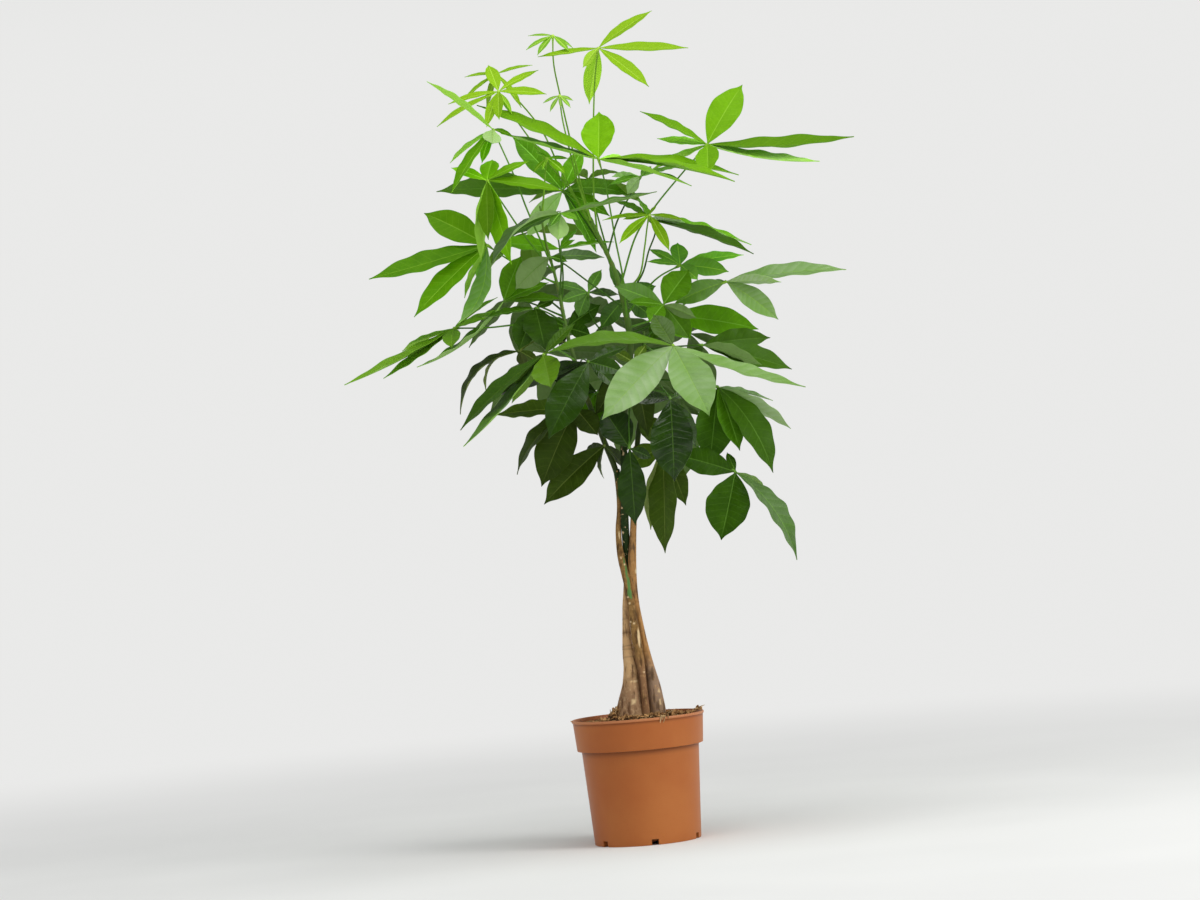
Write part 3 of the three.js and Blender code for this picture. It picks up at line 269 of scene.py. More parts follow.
     [(200, 455, 37, -0.2, 0.12), (228, 510, -15, 0.1), (208, 548, 5, 0.5), (160, 487, 30, -0.35),
      (120, 474, 50, 0.05)], 0.35, (0.95, 1.6, 1.6, 2.1, 1.3), (0, 0.25, 0.2, 0, 0)),
    ("right_middle", "mature", "middle", 650, (78, 683, -34), (35, 0),
     [(66, 663, -26)],
     [(115, 725, 38, 0.3), (17, 712, 26, 0.15), (33, 690, 12, -0.3), (58, 662, 24, -0.9),
      (119, 662, -16, -0.5), (108, 637, 30, 0)],
     0.4, (1.85, 2.2, 1.85, 1.85, 0.8, 1.2), (0, 0.08, 0, 0, 0, 0)),
    ("right_upper", "fresh", "middle", 676, (104, 732, 2), (20, 0),
     [(72, 717, 3)],
     [(65, 756, 11, 0.3), (62, 740, 8, -0.2), (103, 761, 23, 0.9), (166, 718, 24, -0.2),
      (125, 711, 20, -1), (187, 738, 15, 0.3)], 0.1, (1.9, 1.9, 2.4, 1.9, 1.9, 2.5), 0.08),
    ("far_right", "fresh", "middle", 658, (161, 706, -14), (20, 15),
     [(128, 694, -8), (86, 672, 0)],
     [(317, 708, 20, 0, 0.03), (232, 699, -11, -0.3), (224, 651, 28, -0.15), (92, 683, 27, 0.15),
      (139, 703, 9, 0.9)], 0.45, 1.1, (0.2, 0.4, 0.15, 0.1, 0.1)),
    ("right_deep", "mature", "right", 628, (124, 627, -58), (35, 10),
     [(98, 628, -42)],
     [(212, 629, 28, 0.2), (236, 586, 29, 0), (198, 595, -15, -0.3), (96, 592, 22, -0.1)],
     0.6, (0.75, 0.75, 1.1, 0.4), 0),
    ("right_back", "mature", "right", 643, (84, 668, 16), (25, 10),
     [(70, 657, 14)],
     [(198, 641, 38, 0.05), (109, 636, 28, -0.3), (58, 640, 24, 0.1), (50, 690, 16, 0.6)],
     0.7, (2, 2, 0.8, 1.1), 0),
    ("low_left", "mature", "left", 532, (-13, 509, -17), (35, -10),
     [(-12, 520, -16)],
     [(-97, 440, 38, 0), (-17, 467, 5, 0.3, 0.2), (-42, 498, 14, 1.5), (16, 470, 12, 1.2)],
     0.2, 1.05, 0),
    ("left_lower", "mature", "left", 586, (-46, 560, -34), (40, -10),
     [(-42, 574, -24)],
     [(-98, 463, 50, 0), (-128, 481, 18, 0.25, 0.14), (-20, 523, 30, -0.4), (-150, 560, 22, 0.4)],
     0.2, (0.8, 0.8, 0.8, 2.1), 0),
    ("below_right", "mature", "right", 524, (62, 500, -24), (40, 0),
     [(50, 514, -14)],
     [(53, 364, 35, -0.1), (37, 396, -21, 0.15), (85, 423, 27, 0.15), (16, 482, 30, 0.4),
      (38, 545, 30, 0.4)], 0.4, (1.05, 1.05, 1.05, 1.7, 1.05), 0),
    ("inner_left", "mature", "left", 653, (-48, 664, 16), (30, 0),
     [(-49, 658, 4)],
     [(-2, 690, 25, 0.2), (-69, 676, 16, 0.4), (-18, 652, 20, -0.2), (-60, 642, 13, 0.7)],
     0.15, (1.4, 1.4, 1.4, 0.55), 0),
    ("inner_middle", "mature", "middle", 640, (-17, 707, 14), (20, 0),
     [(-17, 680, 12), (0, 653, 10)],
     [(3, 735, 15, 0.3), (-60, 723, 12, 0.2), (-53, 698, 15, -0.2), (22, 701, 11, 0.3),
      (-32, 676, 20, 0.3)], 0.25, (2.5, 2.5, 2.5, 0.8, 2.5), 0.08),
    ("inner_right", "mature", "middle", 690, (30, 696, 30), (25, 0),
     [],
     [(-5, 659, 24, 0.1), (13, 742, 15, 0.2), (62, 668, 26, 0.2), (71, 708, 22, 0.3)], 0.1, 2.6, 0.06),
    ("inner_low", "mature", "right", 612, (34, 612, -34), (40, 0),
     [(42, 612, -16)],
     [(-22, 548, 28, 0), (44, 515, 30, -0.1), (8, 630, 13, 0.3), (52, 634, 13, 0.5)],
     0.15, (0.6, 0.6, 1.9, 2.6), 0),
    ("shaded", "mature", "left", 566, (-16, 578, 22), (40, 0),
     [(-22, 574, 12)],
     [(-60, 540, 34, 0.1), (-26, 526, 34, 0.1), (12, 548, 30, 0.1), (-70, 598, 24, 0.2),
      (24, 592, 24, 0.2)], 0.4, (1.6, 1.6, 0.8, 0.3, 0.3), 0),
    ("back_1", "mature", "left", 686, (-100, 712, 118), (-28, -25),
     [(-70, 702, 46)],
     (5, 122), 0.4, 0.6, 0),
    ("back_2", "mature", "left", 630, (-78, 634, 108), (-38, -25),
     [(-58, 636, 44)],
     (5, 128), 0.4, 0.6, 0),
    ("back_3", "mature", "middle", 664, (6, 672, 154), (-35, 0),
     [(20, 672, 80)],
     (5, 122), 0.4, 0.6, 0),
    ("back_4", "mature", "middle", 628, (32, 597, 124), (-52, 10),
     [(32, 612, 60)],
     (5, 124), 0.4, 0.6, 0),
    ("back_5", "mature", "right", 636, (108, 644, 120), (-28, 28),
     [(80, 648, 62)],
     (5, 126), 0.4, 0.6, 0),
    ("back_6", "mature", "right", 578, (90, 562, 92), (-45, 35),
     [(66, 572, 42)],
     (5, 116), 0.4, 0.6, 0),
    ("back_7", "fresh", "left", 762, (-86, 792, 96), (-24, -20),
     [(-76, 772, 34)],
     (5, 104), 0.45, 0.6, 0),
    ("back_8", "fresh", "middle", 742, (-5, 853, 107), (-21, 0),
     [(4, 802, 56)],
     (5, 98), 0.45, 0.6, 0),
]]

# ---- building meshes ----

BOX_CORNERS = [(a, b, c) for c in (-1, 1) for a, b in ((-1, -1), (1, -1), (1, 1), (-1, 1))]
BOX_FACES = [[3, 2, 1, 0], [4, 5, 6, 7], [0, 1, 5, 4], [1, 2, 6, 5], [2, 3, 7, 6], [3, 0, 4, 7]]


class Shape:
    """Points in millimetres, faces, and numbers kept at each point for the materials."""

    def __init__(self):
        self.points = []
        self.faces = []
        self.values = {}

    def add(self, points, faces, **values):
        first = len(self.points)
        self.points.extend(points)
        self.faces.extend([first + i for i in face] for face in faces)
        for name, given in values.items():
            kept = self.values.setdefault(name, [0.0] * first)
            kept.extend([0.0] * (first - len(kept)))
            kept.extend(given if hasattr(given, "__len__") else [given] * len(points))

    def object(self, name, material, smooth_to=50):
        mesh = bpy.data.meshes.new(name)
        mesh.from_pydata([tuple(c * MM for c in p) for p in self.points], [], self.faces)
        for key, given in self.values.items():
            attribute = mesh.attributes.new(key, "FLOAT", "POINT")
            given.extend([0.0] * (len(self.points) - len(given)))
            attribute.data.foreach_set("value", given)
        mesh.update()
        mesh.materials.append(material)
        smooth(mesh, smooth_to)
        return link(bpy.data.objects.new(name, mesh))


def smooth(mesh, up_to):
    mesh.shade_smooth()
    mesh.set_sharp_from_angle(angle=math.radians(up_to))


def link(made):
    bpy.context.scene.collection.objects.link(made)
    return made


def stand_for(made, node):
    """Put a finer piece in a node's place, with no point outside the part's own box."""
    low, high = bounds_at_start
    for vertex in made.data.vertices:
        vertex.co = [min(max(c, least), most) for c, least, most in zip(vertex.co, low, high)]
    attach(made, "root")
    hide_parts(node)


def polar(radius, turn):
    return radius * math.cos(turn), radius * math.sin(turn)


def ring(radius, height, sides, x=0, y=0):
    ways = [polar(radius, 2 * math.pi * s / sides) for s in range(sides)]
    return [Vector((x + a, y + b, height)) for a, b in ways]


def ring_faces(rings, sides, caps=True):
    faces = []
    for r in range(rings - 1):
        for s in range(sides):
            low, nxt = r * sides + s, r * sides + (s + 1) % sides
            faces.append([low, nxt, nxt + sides, low + sides])
    if caps:
        faces.append(list(range(sides))[::-1])
        faces.append([(rings - 1) * sides + s for s in range(sides)])
    return faces


def fan_faces(tip, first, sides):
    """Triangles from one point to each side of the ring that starts at first."""
    return [[tip, first + s, first + (s + 1) % sides] for s in range(sides)]


def tube(shape, rows, sides, **values):
    """A closed round tube along rows of place, direction and radius."""
    points = []
    for place, ahead, radius in rows:
        side = ahead.cross(TUBE_SIDE).normalized()
        up = ahead.cross(side)
        for s in range(sides):
            turn = 2 * math.pi * s / sides
            points.append(place + side * (radius * math.cos(turn)) + up * (radius * math.sin(turn)))
    shape.add(points, ring_faces(len(rows), sides), **values)


def smoothstep(low, high, x):
    t = min(max((x - low) / (high - low), 0), 1)
    return t * t * (3 - 2 * t)


def bell(x, width):
    return math.exp(-((x / width) ** 2))


def spline(rows, t):
    """A smooth path through rows of numbers, for t from 0 to 1 over its whole length."""
    last = len(rows) - 1
    place = min(max(t, 0), 1) * last
    i = min(int(place), last - 1)
    w = place - i
    p = [np.array(rows[min(max(i + k, 0), last)], float) for k in (-1, 0, 1, 2)]
    return 0.5 * (
        2 * p[1] + (p[2] - p[0]) * w + (2 * p[0] - 5 * p[1] + 4 * p[2] - p[3]) * w**2
        + (3 * p[1] - p[0] - 3 * p[2] + p[3]) * w**3
    )


def ripple(seed, *terms):
    """A smooth made-up roughness, from -1 to 1, of any numbers."""
    random_phase = random.Random(seed)
    total = 0.0
    for k in range(4):
        angle = sum(x * random_phase.uniform(0.6, 1.7) * (1.6**k) for x in terms)
        total += math.sin(angle + random_phase.uniform(0, FULL_TURN)) / (1.35**k)
    return total / 2.6


# ---- leaves: where they are ----


def seen(x, z, depth):
    """The place at a depth that the front shows at x and z."""
    return EYE.lerp(Vector((x, 0, z)), (depth - EYE.y) / -EYE.y)


def on_shoot(name, height):
    rows = SHOOTS[name]
    above = next(i for i, row in enumerate(rows) if row[2] >= height)
    low, high = rows[above - 1], rows[above]
    part = (height - low[2]) / (high[2] - low[2])
    return Vector(low[:3]).lerp(Vector(high[:3]), part)


def hub_and_face(leaf):
    """The middle of a leaf's fan and the way that its upper side faces."""
    a, b = (math.radians(lean) for lean in leaf.lean)
    face = Vector((math.sin(b), -math.sin(a), math.cos(a) * math.cos(b))).normalized()
    return seen(*leaf.hub), face


def flattened(way):
    return Vector((way.x, way.y, 0))


def square_to(direction, along):
    return (direction - along * direction.dot(along)).normalized()


def blade_normal(along, face, shown, width):
    """A blade's upward way, turned until the front shows it as wide as the leaf's row says."""
    if not shown:
        return square_to(face, along)
    front = square_to(TOWARDS_EYE, along)
    aside = along.cross(front)
    cosine = shown / width
    sine = math.sqrt(1 - cosine * cosine) * (1 if aside.dot(face) >= 0 else -1)
    return front * cosine + aside * sine


def outline(t):
    """A blade's half width along its length, with a drawn-out tip."""
    drawn_out = 1 - 0.4 * smoothstep(0.83, 0.97, t)
    return math.sin(math.pi * t**1.05) ** 0.9 * (1 - 0.35 * t**10) * drawn_out if 0 < t < 1 else 0.0


def nearest(place, points):
    return float(np.min(np.linalg.norm(points - np.array(place), axis=1)))


def stalk_points(leaf, bend):
    hub, root = seen(*leaf.hub), on_shoot(leaf.shoot, leaf.joins)
    via = [seen(*p) for p in reversed(leaf.via)] or [hub.lerp(root, 0.5)]
    root = root + flattened(via[0] - root).normalized() * STALK.rooting
    give = STALK.give * bend * (hub - root).length
    points = [root, *via, hub]
    last = len(points) - 1
    return [p + Vector((0, give * math.sin(math.pi * i / last), 0)) for i, p in enumerate(points)]


def through(points, count):
    """Places and directions at even steps on the smooth curve through the points."""
    fine = []
    last = len(points) - 1
    for step in range(CURVE_STEPS + 1):
        place = step / CURVE_STEPS * last
        i = min(int(place), last - 1)
        w = place - i
        p1, p2 = points[i], points[i + 1]
        p0 = points[i - 1] if i > 0 else 2 * points[0] - points[1]
        p3 = points[i + 2] if i + 2 <= last else 2 * points[last] - points[last - 1]
        d0, d1, d2 = (max((b - a).length, 1e-6) ** 0.5 for a, b in ((p0, p1), (p1, p2), (p2, p3)))
        m1 = ((p1 - p0) / d0 - (p2 - p0) / (d0 + d1) + (p2 - p1) / d1) * d1
        m2 = ((p2 - p1) / d1 - (p3 - p1) / (d1 + d2) + (p3 - p2) / d2) * d1
        bent, twisted = 3 * (p2 - p1) - 2 * m1 - m2, 2 * (p1 - p2) + m1 + m2
        fine.append(p1 + m1 * w + bent * w**2 + twisted * w**3)
    lengths = np.cumsum([0] + [(b - a).length for a, b in zip(fine, fine[1:])])
    places = []
    for s in np.linspace(0, lengths[-1], count):
        i = int(min(max(np.searchsorted(lengths, s) - 1, 0), CURVE_STEPS - 1))
        part = (s - lengths[i]) / max(lengths[i + 1] - lengths[i], 1e-9)
        places.append((fine[i].lerp(fine[i + 1], part), (fine[i + 1] - fine[i]).normalized()))
    return places, lengths[-1]


def blade_plans(leaf):
    """Each blade of a leaf: its tip for any bend, its shown width and its arch."""
    hub, face = hub_and_face(leaf)
    plans = []
    if isinstance(leaf.blades, list):
        for x, z, shown, recede, *arch in leaf.blades:
            across = math.hypot(x - leaf.hub[0], z - leaf.hub[1])
            tips = [seen(x, z, leaf.hub[2] + (recede + bend) * across) for bend in BENDS]
            plans.append((tips, shown, arch[0] if arch else BLADE.arch))
        return plans
    count, length = leaf.blades
    forward = square_to(flattened(hub - on_shoot(leaf.shoot, leaf.joins)), face)
    aside = face.cross(forward)
    for i in range(count):
        share = i / (count - 1) - 0.5
        turn, reach = FAN.turn * share, length * (1 - (1 - FAN.outer) * abs(share) * 2)
        flat = forward * math.cos(turn) + aside * math.sin(turn)
        droops = [FAN.droop - bend for bend in BENDS]
        tips = [hub + reach * (flat * math.cos(droop) - face * math.sin(droop)) for droop in droops]
        plans.append((tips, 0, FAN.arch))
    return plans


# ---- leaves: fine blades and stalks ----


def add_blade(shape, hub, tip, face, shown, arch, age, looks, seed):
    """A thin blade with a sunken midrib, waved edges and a quilted surface between veins."""
    length = (tip - hub).length
    along = (tip - hub).normalized()
    width = max(BREADTH[age] * length, 1.04 * abs(shown))
    normal = blade_normal(along, face, shown, width)
    lift = blade_normal(along, face, 0, 0)
    base = hub + along * BLADE.start
    middle = hub.lerp(tip, 0.5) + lift * (2 * arch * length)
    chance = random.Random(seed)
    steps = 14 if length < SMALL_BLADE else 33 if length < 110 else 44
    veins = SIDE_VEINS[length >= SMALL_BLADE]
    waves = chance.uniform(3.2, 4.6)
    phases = [chance.uniform(0, FULL_TURN) for _ in range(2)]
    tone, gain, sheen = looks
    kept = dict(size=length, leafy=1.0, gain=gain, sheen=sheen)
    kept["tint"] = min(max(tone + chance.uniform(-0.1, 0.1), 0), 1)
    top, bottom, t_at, v_at, rib_at = [], [], [], [], []
    for i in range(steps + 1):
        t = min(i / steps, 0.995)
        centre = base * (1 - t) ** 2 + middle * (2 * t * (1 - t)) + tip * t * t
        ahead = ((middle - base) * (1 - t) + (tip - middle) * t).normalized()
        side = ahead.cross(normal).normalized()
        up = side.cross(ahead)
        half = max(0.9 * (1 - t) + 0.15, width / 2 * outline(t))
        for v in ACROSS:
            fold = BLADE.fold * abs(v) ** 1.25 - MIDRIB_SINK * (1 - abs(v)) ** 6
            edge = abs(v) ** 2.2 * math.sin(waves * FULL_TURN * t + phases[v > 0])
            quilt = math.cos(FULL_TURN * (veins * (t - VEIN_SLANT * abs(v)))) * (1 - abs(v) ** 3)
            rise = half * (fold + WAVE[age] * edge) + QUILT * width * quilt * min(1, 4 * abs(v))
            place = centre + side * (v * half) + up * rise
            rib = (0.35 + 0.9 * (1 - t)) * max(0, 1 - abs(v * half) / 1.5)
            top.append(place + up * BLADE.thickness / 2)
            bottom.append(place - up * (BLADE.thickness / 2 + rib * min(1, half / 4)))
            t_at.append(t)
            v_at.append(v)
            rib_at.append(abs(v) * half)
    cols, rows = len(ACROSS), steps + 1
    corners = [r * cols + c for r in range(steps) for c in range(cols - 1)]
    faces = [[a, a + 1, a + cols + 1, a + cols] for a in corners]
    shape.add(top, faces, t=t_at, v=v_at, rib=rib_at, under=0.0, **kept)
    faces = [[a, d, c, b] for a, b, c, d in faces]
    shape.add(bottom, faces, t=t_at, v=v_at, rib=rib_at, under=1.0, **kept)
    count = rows * cols
    first = len(shape.points) - 2 * count
    rim = [r * cols for r in range(rows)] + [steps * cols + c for c in range(1, cols)]
    rim += [r * cols + cols - 1 for r in range(rows - 2, -1, -1)] + list(range(cols - 2, 0, -1))
    for a, b in zip(rim, rim[1:] + rim[:1]):
        shape.faces.append([first + a, first + b, first + b + count, first + a + count])


def stalk_radius(t):
    return STALK.foot + (STALK.top - STALK.foot) * t


def add_stalk(shape, points):
    """A stalk with a flared foot and the knob that its blades grow from."""
    places, total = through(points, 34)
    sides = 8
    rows, t_at = [], []
    knob = STALK.knob_length / total
    for i, (place, ahead) in enumerate(places):
        t = i / (len(places) - 1)
        radius = stalk_radius(t) + 0.5 * bell(t * total, 4)
        radius += 1.15 * smoothstep(1 - 2.2 * knob, 1 - 0.5 * knob, t)
        rows.append((place, ahead, radius))
        t_at += [t] * sides
    end, ahead, radius = rows[-1]
    rows.append((end + ahead * (0.7 * STALK.past), ahead, radius * 0.6))
    t_at += [1.0] * sides
    tube(shape, rows, sides, t=t_at, leafy=0.0, tint=0.5, size=total, gain=1.0)


def best_stalk(leaf, cad):
    """The stalk's course in the CAD part: the bend whose second ring is in its mesh."""

    def distance(bend):
        points = stalk_points(leaf, bend)
        places, total = through(points, CURVE_STEPS + 1)
        step = (1 - STALK.knob_length / total) / len(points)
        place, ahead = places[round(CURVE_STEPS * step)]
        return nearest(place + ahead.cross(TUBE_SIDE).normalized() * stalk_radius(step), cad)

    return stalk_points(leaf, min(BENDS, key=distance))


def build_leaf(leaf, index, material):
    node = f"leaf_{leaf.name}"
    cad = np.array([v.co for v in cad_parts[node].data.vertices]) / MM
    shape = Shape()
    add_stalk(shape, best_stalk(leaf, cad))
    hub, face = hub_and_face(leaf)
    for number, (tips, shown, arch) in enumerate(blade_plans(leaf)):
        tip = min(tips, key=lambda place: nearest(place, cad))
        looks = [x[number] if isinstance(x, tuple) else x for x in (leaf.tone, leaf.gain, leaf.sheen)]
        add_blade(shape, hub, tip, face, shown, arch, leaf.age, looks, 100 * index + number)
    stand_for(shape.object(f"{node}_fine", material), node)


# ---- pot ----


def turned(shape, profile, sides, **values):
    """A solid of revolution: the profile starts and ends on the axis."""
    points = [Vector((0, 0, profile[0][1]))]
    for radius, height in profile[1:-1]:
        points += ring(radius, height, sides)
    points.append(Vector((0, 0, profile[-1][1])))
    rings = len(profile) - 2
    end = len(points) - 1
    faces = [[f + 1 for f in face] for face in ring_faces(rings, sides, False)]
    for low, high in zip(fan_faces(0, 1, sides), fan_faces(end, 1 + (rings - 1) * sides, sides)):
        faces += [[low[0], low[2], low[1]], high]
    shape.add(points, faces, **values)


def pot_profile():
    """The pot's outline from the axis under the floor, up the outside and down the inside."""
    p = POT
    top, step = p.height, p.height - p.rim_depth
    wall = [(p.foot + (p.shoulder - p.foot) * share, 1 + (step - 2) * share)
            for share in (*[k / 12 for k in range(1, 12)], 0.94, 0.965, 0.985, 1)]
    collar = [(p.rim_foot + (p.rim - 1.3 - p.rim_foot) * share, step + 1.2 + (top - 5.2 - step) * share)
              for share in (*[k / 6 for k in range(1, 6)], 0.9, 0.95, 1)]
    return [
        (0, p.recess), (p.foot - p.foot_ring, p.recess), (p.foot - p.foot_ring + 1.5, 0),
        (p.foot - 1.0, 0), (p.foot - 0.3, 0.3), (p.foot, 1.0), *wall,
        (p.shoulder + 0.6, step - 0.4), (p.rim_foot - 1.2, step), (p.rim_foot - 0.3, step + 0.3),
        (p.rim_foot, step + 1.2), *collar, (p.rim - 0.4, top - 3.4), (p.rim, top - 2.6),
        (p.rim, top - 1.2), (p.rim - 0.4, top - 0.3), (p.rim - 1.0, top), (p.rim - 1.6, top - 0.2),
        (p.rim - 2.1, top - 1.2), (p.rim - 2.7, top - 4), (p.rim_foot - p.wall, step + 2),
        (p.shoulder - p.wall, step - 2), (p.foot - p.wall, p.floor + 1.5),
        (p.foot - p.wall - 1.5, p.floor), (0, p.floor),
    ]


def pot_painted_light(radius, height):
    """How much painted shadow falls on a place on the pot under a ledge, and how much painted highlight it
    gets on the rim's top edge.
    """
    top, step = POT.height, POT.height - POT.rim_depth
    lip = smoothstep(step - 8, step - 0.5, height) * (height < step + 0.1)
    bead = smoothstep(top - 7, top - 4, height) * (height < top - 3.9 and radius > POT.rim - 2)
    return max(lip, bead) * (radius > POT.foot + 0.5), float(height > top - 2.7 and radius > POT.rim - 1.7)


def build_pot(material):
    sides = 120
    profile = pot_profile()
    painted_light = [pot_painted_light(*place) for place in profile[1:-1] for _ in range(sides)]
    shadowed, worn = ([0.0, *given, 0.0] for given in zip(*painted_light))
    shape = Shape()
    turned(shape, profile, sides, shadowed=shadowed, worn=worn)
    pot = shape.object("pot_fine", material, POT_SMOOTH)
    cutters = []
    for i in range(POT.drains):
        out = Vector((*polar(1, 2 * math.pi * (i + 0.62) / POT.drains), 0))
        aside = Vector((-out.y, out.x, 0))
        centre = out * (POT.foot - POT.foot_ring + 2)
        corners = [
            centre + out * (8 * a) + aside * (POT.drain_width / 2 * b) + Vector((0, 0, (POT.floor + 1) * c))
            for a, b, c in BOX_CORNERS
        ]
        slot = Shape()
        slot.add(corners, BOX_FACES)
        cutters.append(slot.object(f"drain_{i}", material))
        cut = pot.modifiers.new(f"drain_{i}", "BOOLEAN")
        cut.operation = "DIFFERENCE"
        cut.object = cutters[-1]
        cut.solver = "EXACT"
    finished = bpy.data.meshes.new_from_object(pot.evaluated_get(bpy.context.evaluated_depsgraph_get()))
    pot.modifiers.clear()
    pot.data = finished
    smooth(finished, POT_SMOOTH)
    for cutter in cutters:
        bpy.data.objects.remove(cutter)
    stand_for(pot, "pot")


# ---- soil ----

# Small heaps of bark and dry bits: x, y, spread, least height and number.
HEAPS = [
    (-29, -4, 3.2, 163, 80), (-25, -6, 2.2, 169, 40), (-45, -20, 6, 158, 30), (-12, -26, 7, 160, 40),
    (24, -20, 6, 160, 40), (42, -6, 6, 160, 36), (62, 2, 7, 158, 26), (78.5, 6, 1.6, 162, 12),
    (26, -66, 4, 156, 16), (-60, -8, 7, 156, 16),
]
# Shreds of bark that stand on their own: both ends and thickness.
SHREDS = [
    ((-33, -4, 160), (-22, -6, 178), 0.9), ((-36, -2, 160), (-27, -3, 174), 1.0),
    ((-34, -8, 160), (-34.5, -9, 172), 0.7), ((-30, -10, 160), (-25, -9, 176), 0.9),
    ((-38, 0, 159), (-31, -2, 171), 0.8), ((-26, -12, 161), (-21, -12, 174), 0.8),
    ((-14, -22, 160), (2, -20, 163), 0.9), ((16, -22, 160), (33, -22, 166), 0.9),
    ((38, -12, 160), (50, -14, 166), 0.8), ((70, 4, 161), (87, 6, 166.5), 0.7),
    ((74, 2, 163), (84, 8, 164), 1.1), ((72, 8, 162.4), (82, 3, 165), 0.9),
]
# Where the roots that hang over the rim run: distance from the axis, and height.
OVER_RIM = [(78, 158.5), (81.5, 161.6), (84, 162.6), (86, 160.6), (86.2, 157), (85.6, 153.5)]


def soil_height(x, y):
    radius = math.hypot(x, y)
    rough = 1.3 * ripple(11, x / 9, y / 9) + 0.7 * ripple(12, x / 3.1, y / 3.1)
    edge = smoothstep(60, 80, radius)
    heap = SOIL.heap * bell(radius, SOIL.heap_radius)
    beside_trunk = 8 * math.exp(-(((x + 26) / 8) ** 2) - (((y + 1) / 13) ** 2))
    return SOIL.level + heap + beside_trunk + rough * (1 - 0.6 * edge)


def tumble(chance, size, flat):
    """The corners of a rough splinter, turned any way but flat."""
    long, wide, high = size
    yaw = chance.uniform(0, FULL_TURN)
    pitch, roll = chance.uniform(-flat, flat), chance.uniform(-flat, flat)
    corners = []
    for a, b, c in BOX_CORNERS:
        taper = 1 - 0.35 * chance.random()
        corner = Vector((a * long / 2 * taper, b * wide / 2 * taper, c * high / 2 * taper))
        corner.rotate(Euler((roll, pitch, yaw)))
        corners.append(corner)
    return corners


def add_splinter(shape, corners, x, y, height, tint):
    place = Vector((x, y, height))
    shape.add([corner + place for corner in corners], BOX_FACES, chip=1.0, tint=tint)


def add_fibre(shape, path, thick, tint):
    """A thin root or shred along a path, thinner at both ends."""
    rows = []
    last = len(path) - 1
    for i, place in enumerate(path):
        ahead = (path[min(i + 1, last)] - path[max(i - 1, 0)]).normalized()
        rows.append((place, ahead, thick * (0.5 if i in (0, last) else 1)))
    tube(shape, rows, 5, chip=2.0, tint=tint)


def fill_pot(shape):
    """The body of the soil: its rough top, and below it the inside of the pot."""
    p = POT
    rings, sides = 34, 96
    step = p.height - p.rim_depth
    points = []
    for r in range(1, rings + 1):
        for s in range(sides):
            x, y = polar((p.rim - p.wall - SOIL.gap) * r / rings, 2 * math.pi * s / sides)
            points.append(Vector((x, y, soil_height(x, y))))
    low = [(p.rim_foot - p.wall - 0.5, step + 2.4), (p.shoulder - p.wall - 0.5, step - 1.6),
           (p.foot - p.wall - 0.5, p.floor + 2), (p.foot - p.wall - 2, p.floor + 0.4)]
    for radius, height in low:
        points += ring(radius, height, sides)
    total = rings + len(low)
    faces = [face[::-1] for face in ring_faces(total, sides, False)]
    points.append(Vector((0, 0, soil_height(0, 0))))
    faces += fan_faces(len(points) - 1, 0, sides)
    faces.append([(total - 1) * sides + s for s in range(sides)][::-1])
    shape.add(points, faces, chip=0.0, tint=0.5)


def scatter_bark(shape, chance):
    for _ in range(SOIL.chips):
        radius, turn = (SOIL.chip_reach - 1) * math.sqrt(chance.random()), chance.uniform(0, FULL_TURN)
        x, y = polar(radius, turn)
        long = chance.choice((3, 4, 5, 7, 9, 12)) * chance.uniform(0.7, 1.2)
        if radius + long / 2 <= SOIL.chip_reach:
            size = (long, long * chance.uniform(0.3, 0.6), chance.uniform(1, 2.6))
            corners = tumble(chance, size, 0.5)
            add_splinter(shape, corners, x, y, soil_height(x, y) + 0.5, chance.random())
    for x, y, spread, lift, number in HEAPS:
        for _ in range(number):
            at_x, at_y = x + chance.gauss(0, spread), y + chance.gauss(0, spread)
            long = chance.uniform(3, 9)
            size = (long, long * chance.uniform(0.2, 0.5), chance.uniform(0.8, 2))
            corners = tumble(chance, size, 0.9)
            height = max(soil_height(at_x, at_y), lift) + 1.5 * abs(chance.gauss(0, 1))
            add_splinter(shape, corners, at_x, at_y, height, 0.3 + 0.7 * chance.random())


def scatter_roots(shape, chance):
    for k in range(SOIL.roots):
        x, y = polar(74 * math.sqrt(chance.random()), chance.uniform(0, FULL_TURN))
        heading, bend = chance.uniform(0, FULL_TURN), chance.uniform(-0.25, 0.25)
        thick = chance.uniform(0.25, 0.6)
        path = []
        for step in range(chance.randint(5, 12)):
            path.append(Vector((x, y, soil_height(x, y) + 0.6 + 1.6 * abs(math.sin(step * 0.7 + k)))))
            heading += bend + chance.uniform(-0.2, 0.2)
            x += 3.2 * math.cos(heading)
            y += 3.2 * math.sin(heading)
            if math.hypot(x, y) > SOIL.chip_reach - 1:
                break
        if len(path) > 2:
            add_fibre(shape, path, thick, chance.random())
    for _ in range(SOIL.hanging_roots):
        turn = math.radians(chance.uniform(-69.5, -64.5))
        path = []
        for radius, height in OVER_RIM[:chance.randint(4, 6)]:
            turn += math.radians(chance.uniform(-1.1, 1.1))
            path.append(Vector((*polar(radius, turn), height + chance.uniform(-0.3, 0.4))))
        add_fibre(shape, path, chance.uniform(0.5, 0.9), chance.random())
    for start, end, thick in SHREDS:
        middle = (Vector(start) + Vector(end)) / 2 + Vector((0, 0, chance.uniform(-1, 1.5)))
        add_fibre(shape, [Vector(start), middle, Vector(end)], thick, chance.random())


def build_soil(material):
    shape = Shape()
    chance = random.Random(5)
    fill_pot(shape)
    scatter_bark(shape, chance)
    scatter_roots(shape, chance)
    stand_for(shape.object("soil_fine", material, 40), "soil")


# ---- trunks and shoots ----

# How green a trunk's skin is by height: height and share of green.
GREEN = {
    "left": [(322, 0), (350, 0.8), (560, 0.9)],
    "middle": [(400, 0), (440, 0.5), (480, 0.7)],
    "right": [(400, 0), (470, 0.35), (505, 0.6)],
}
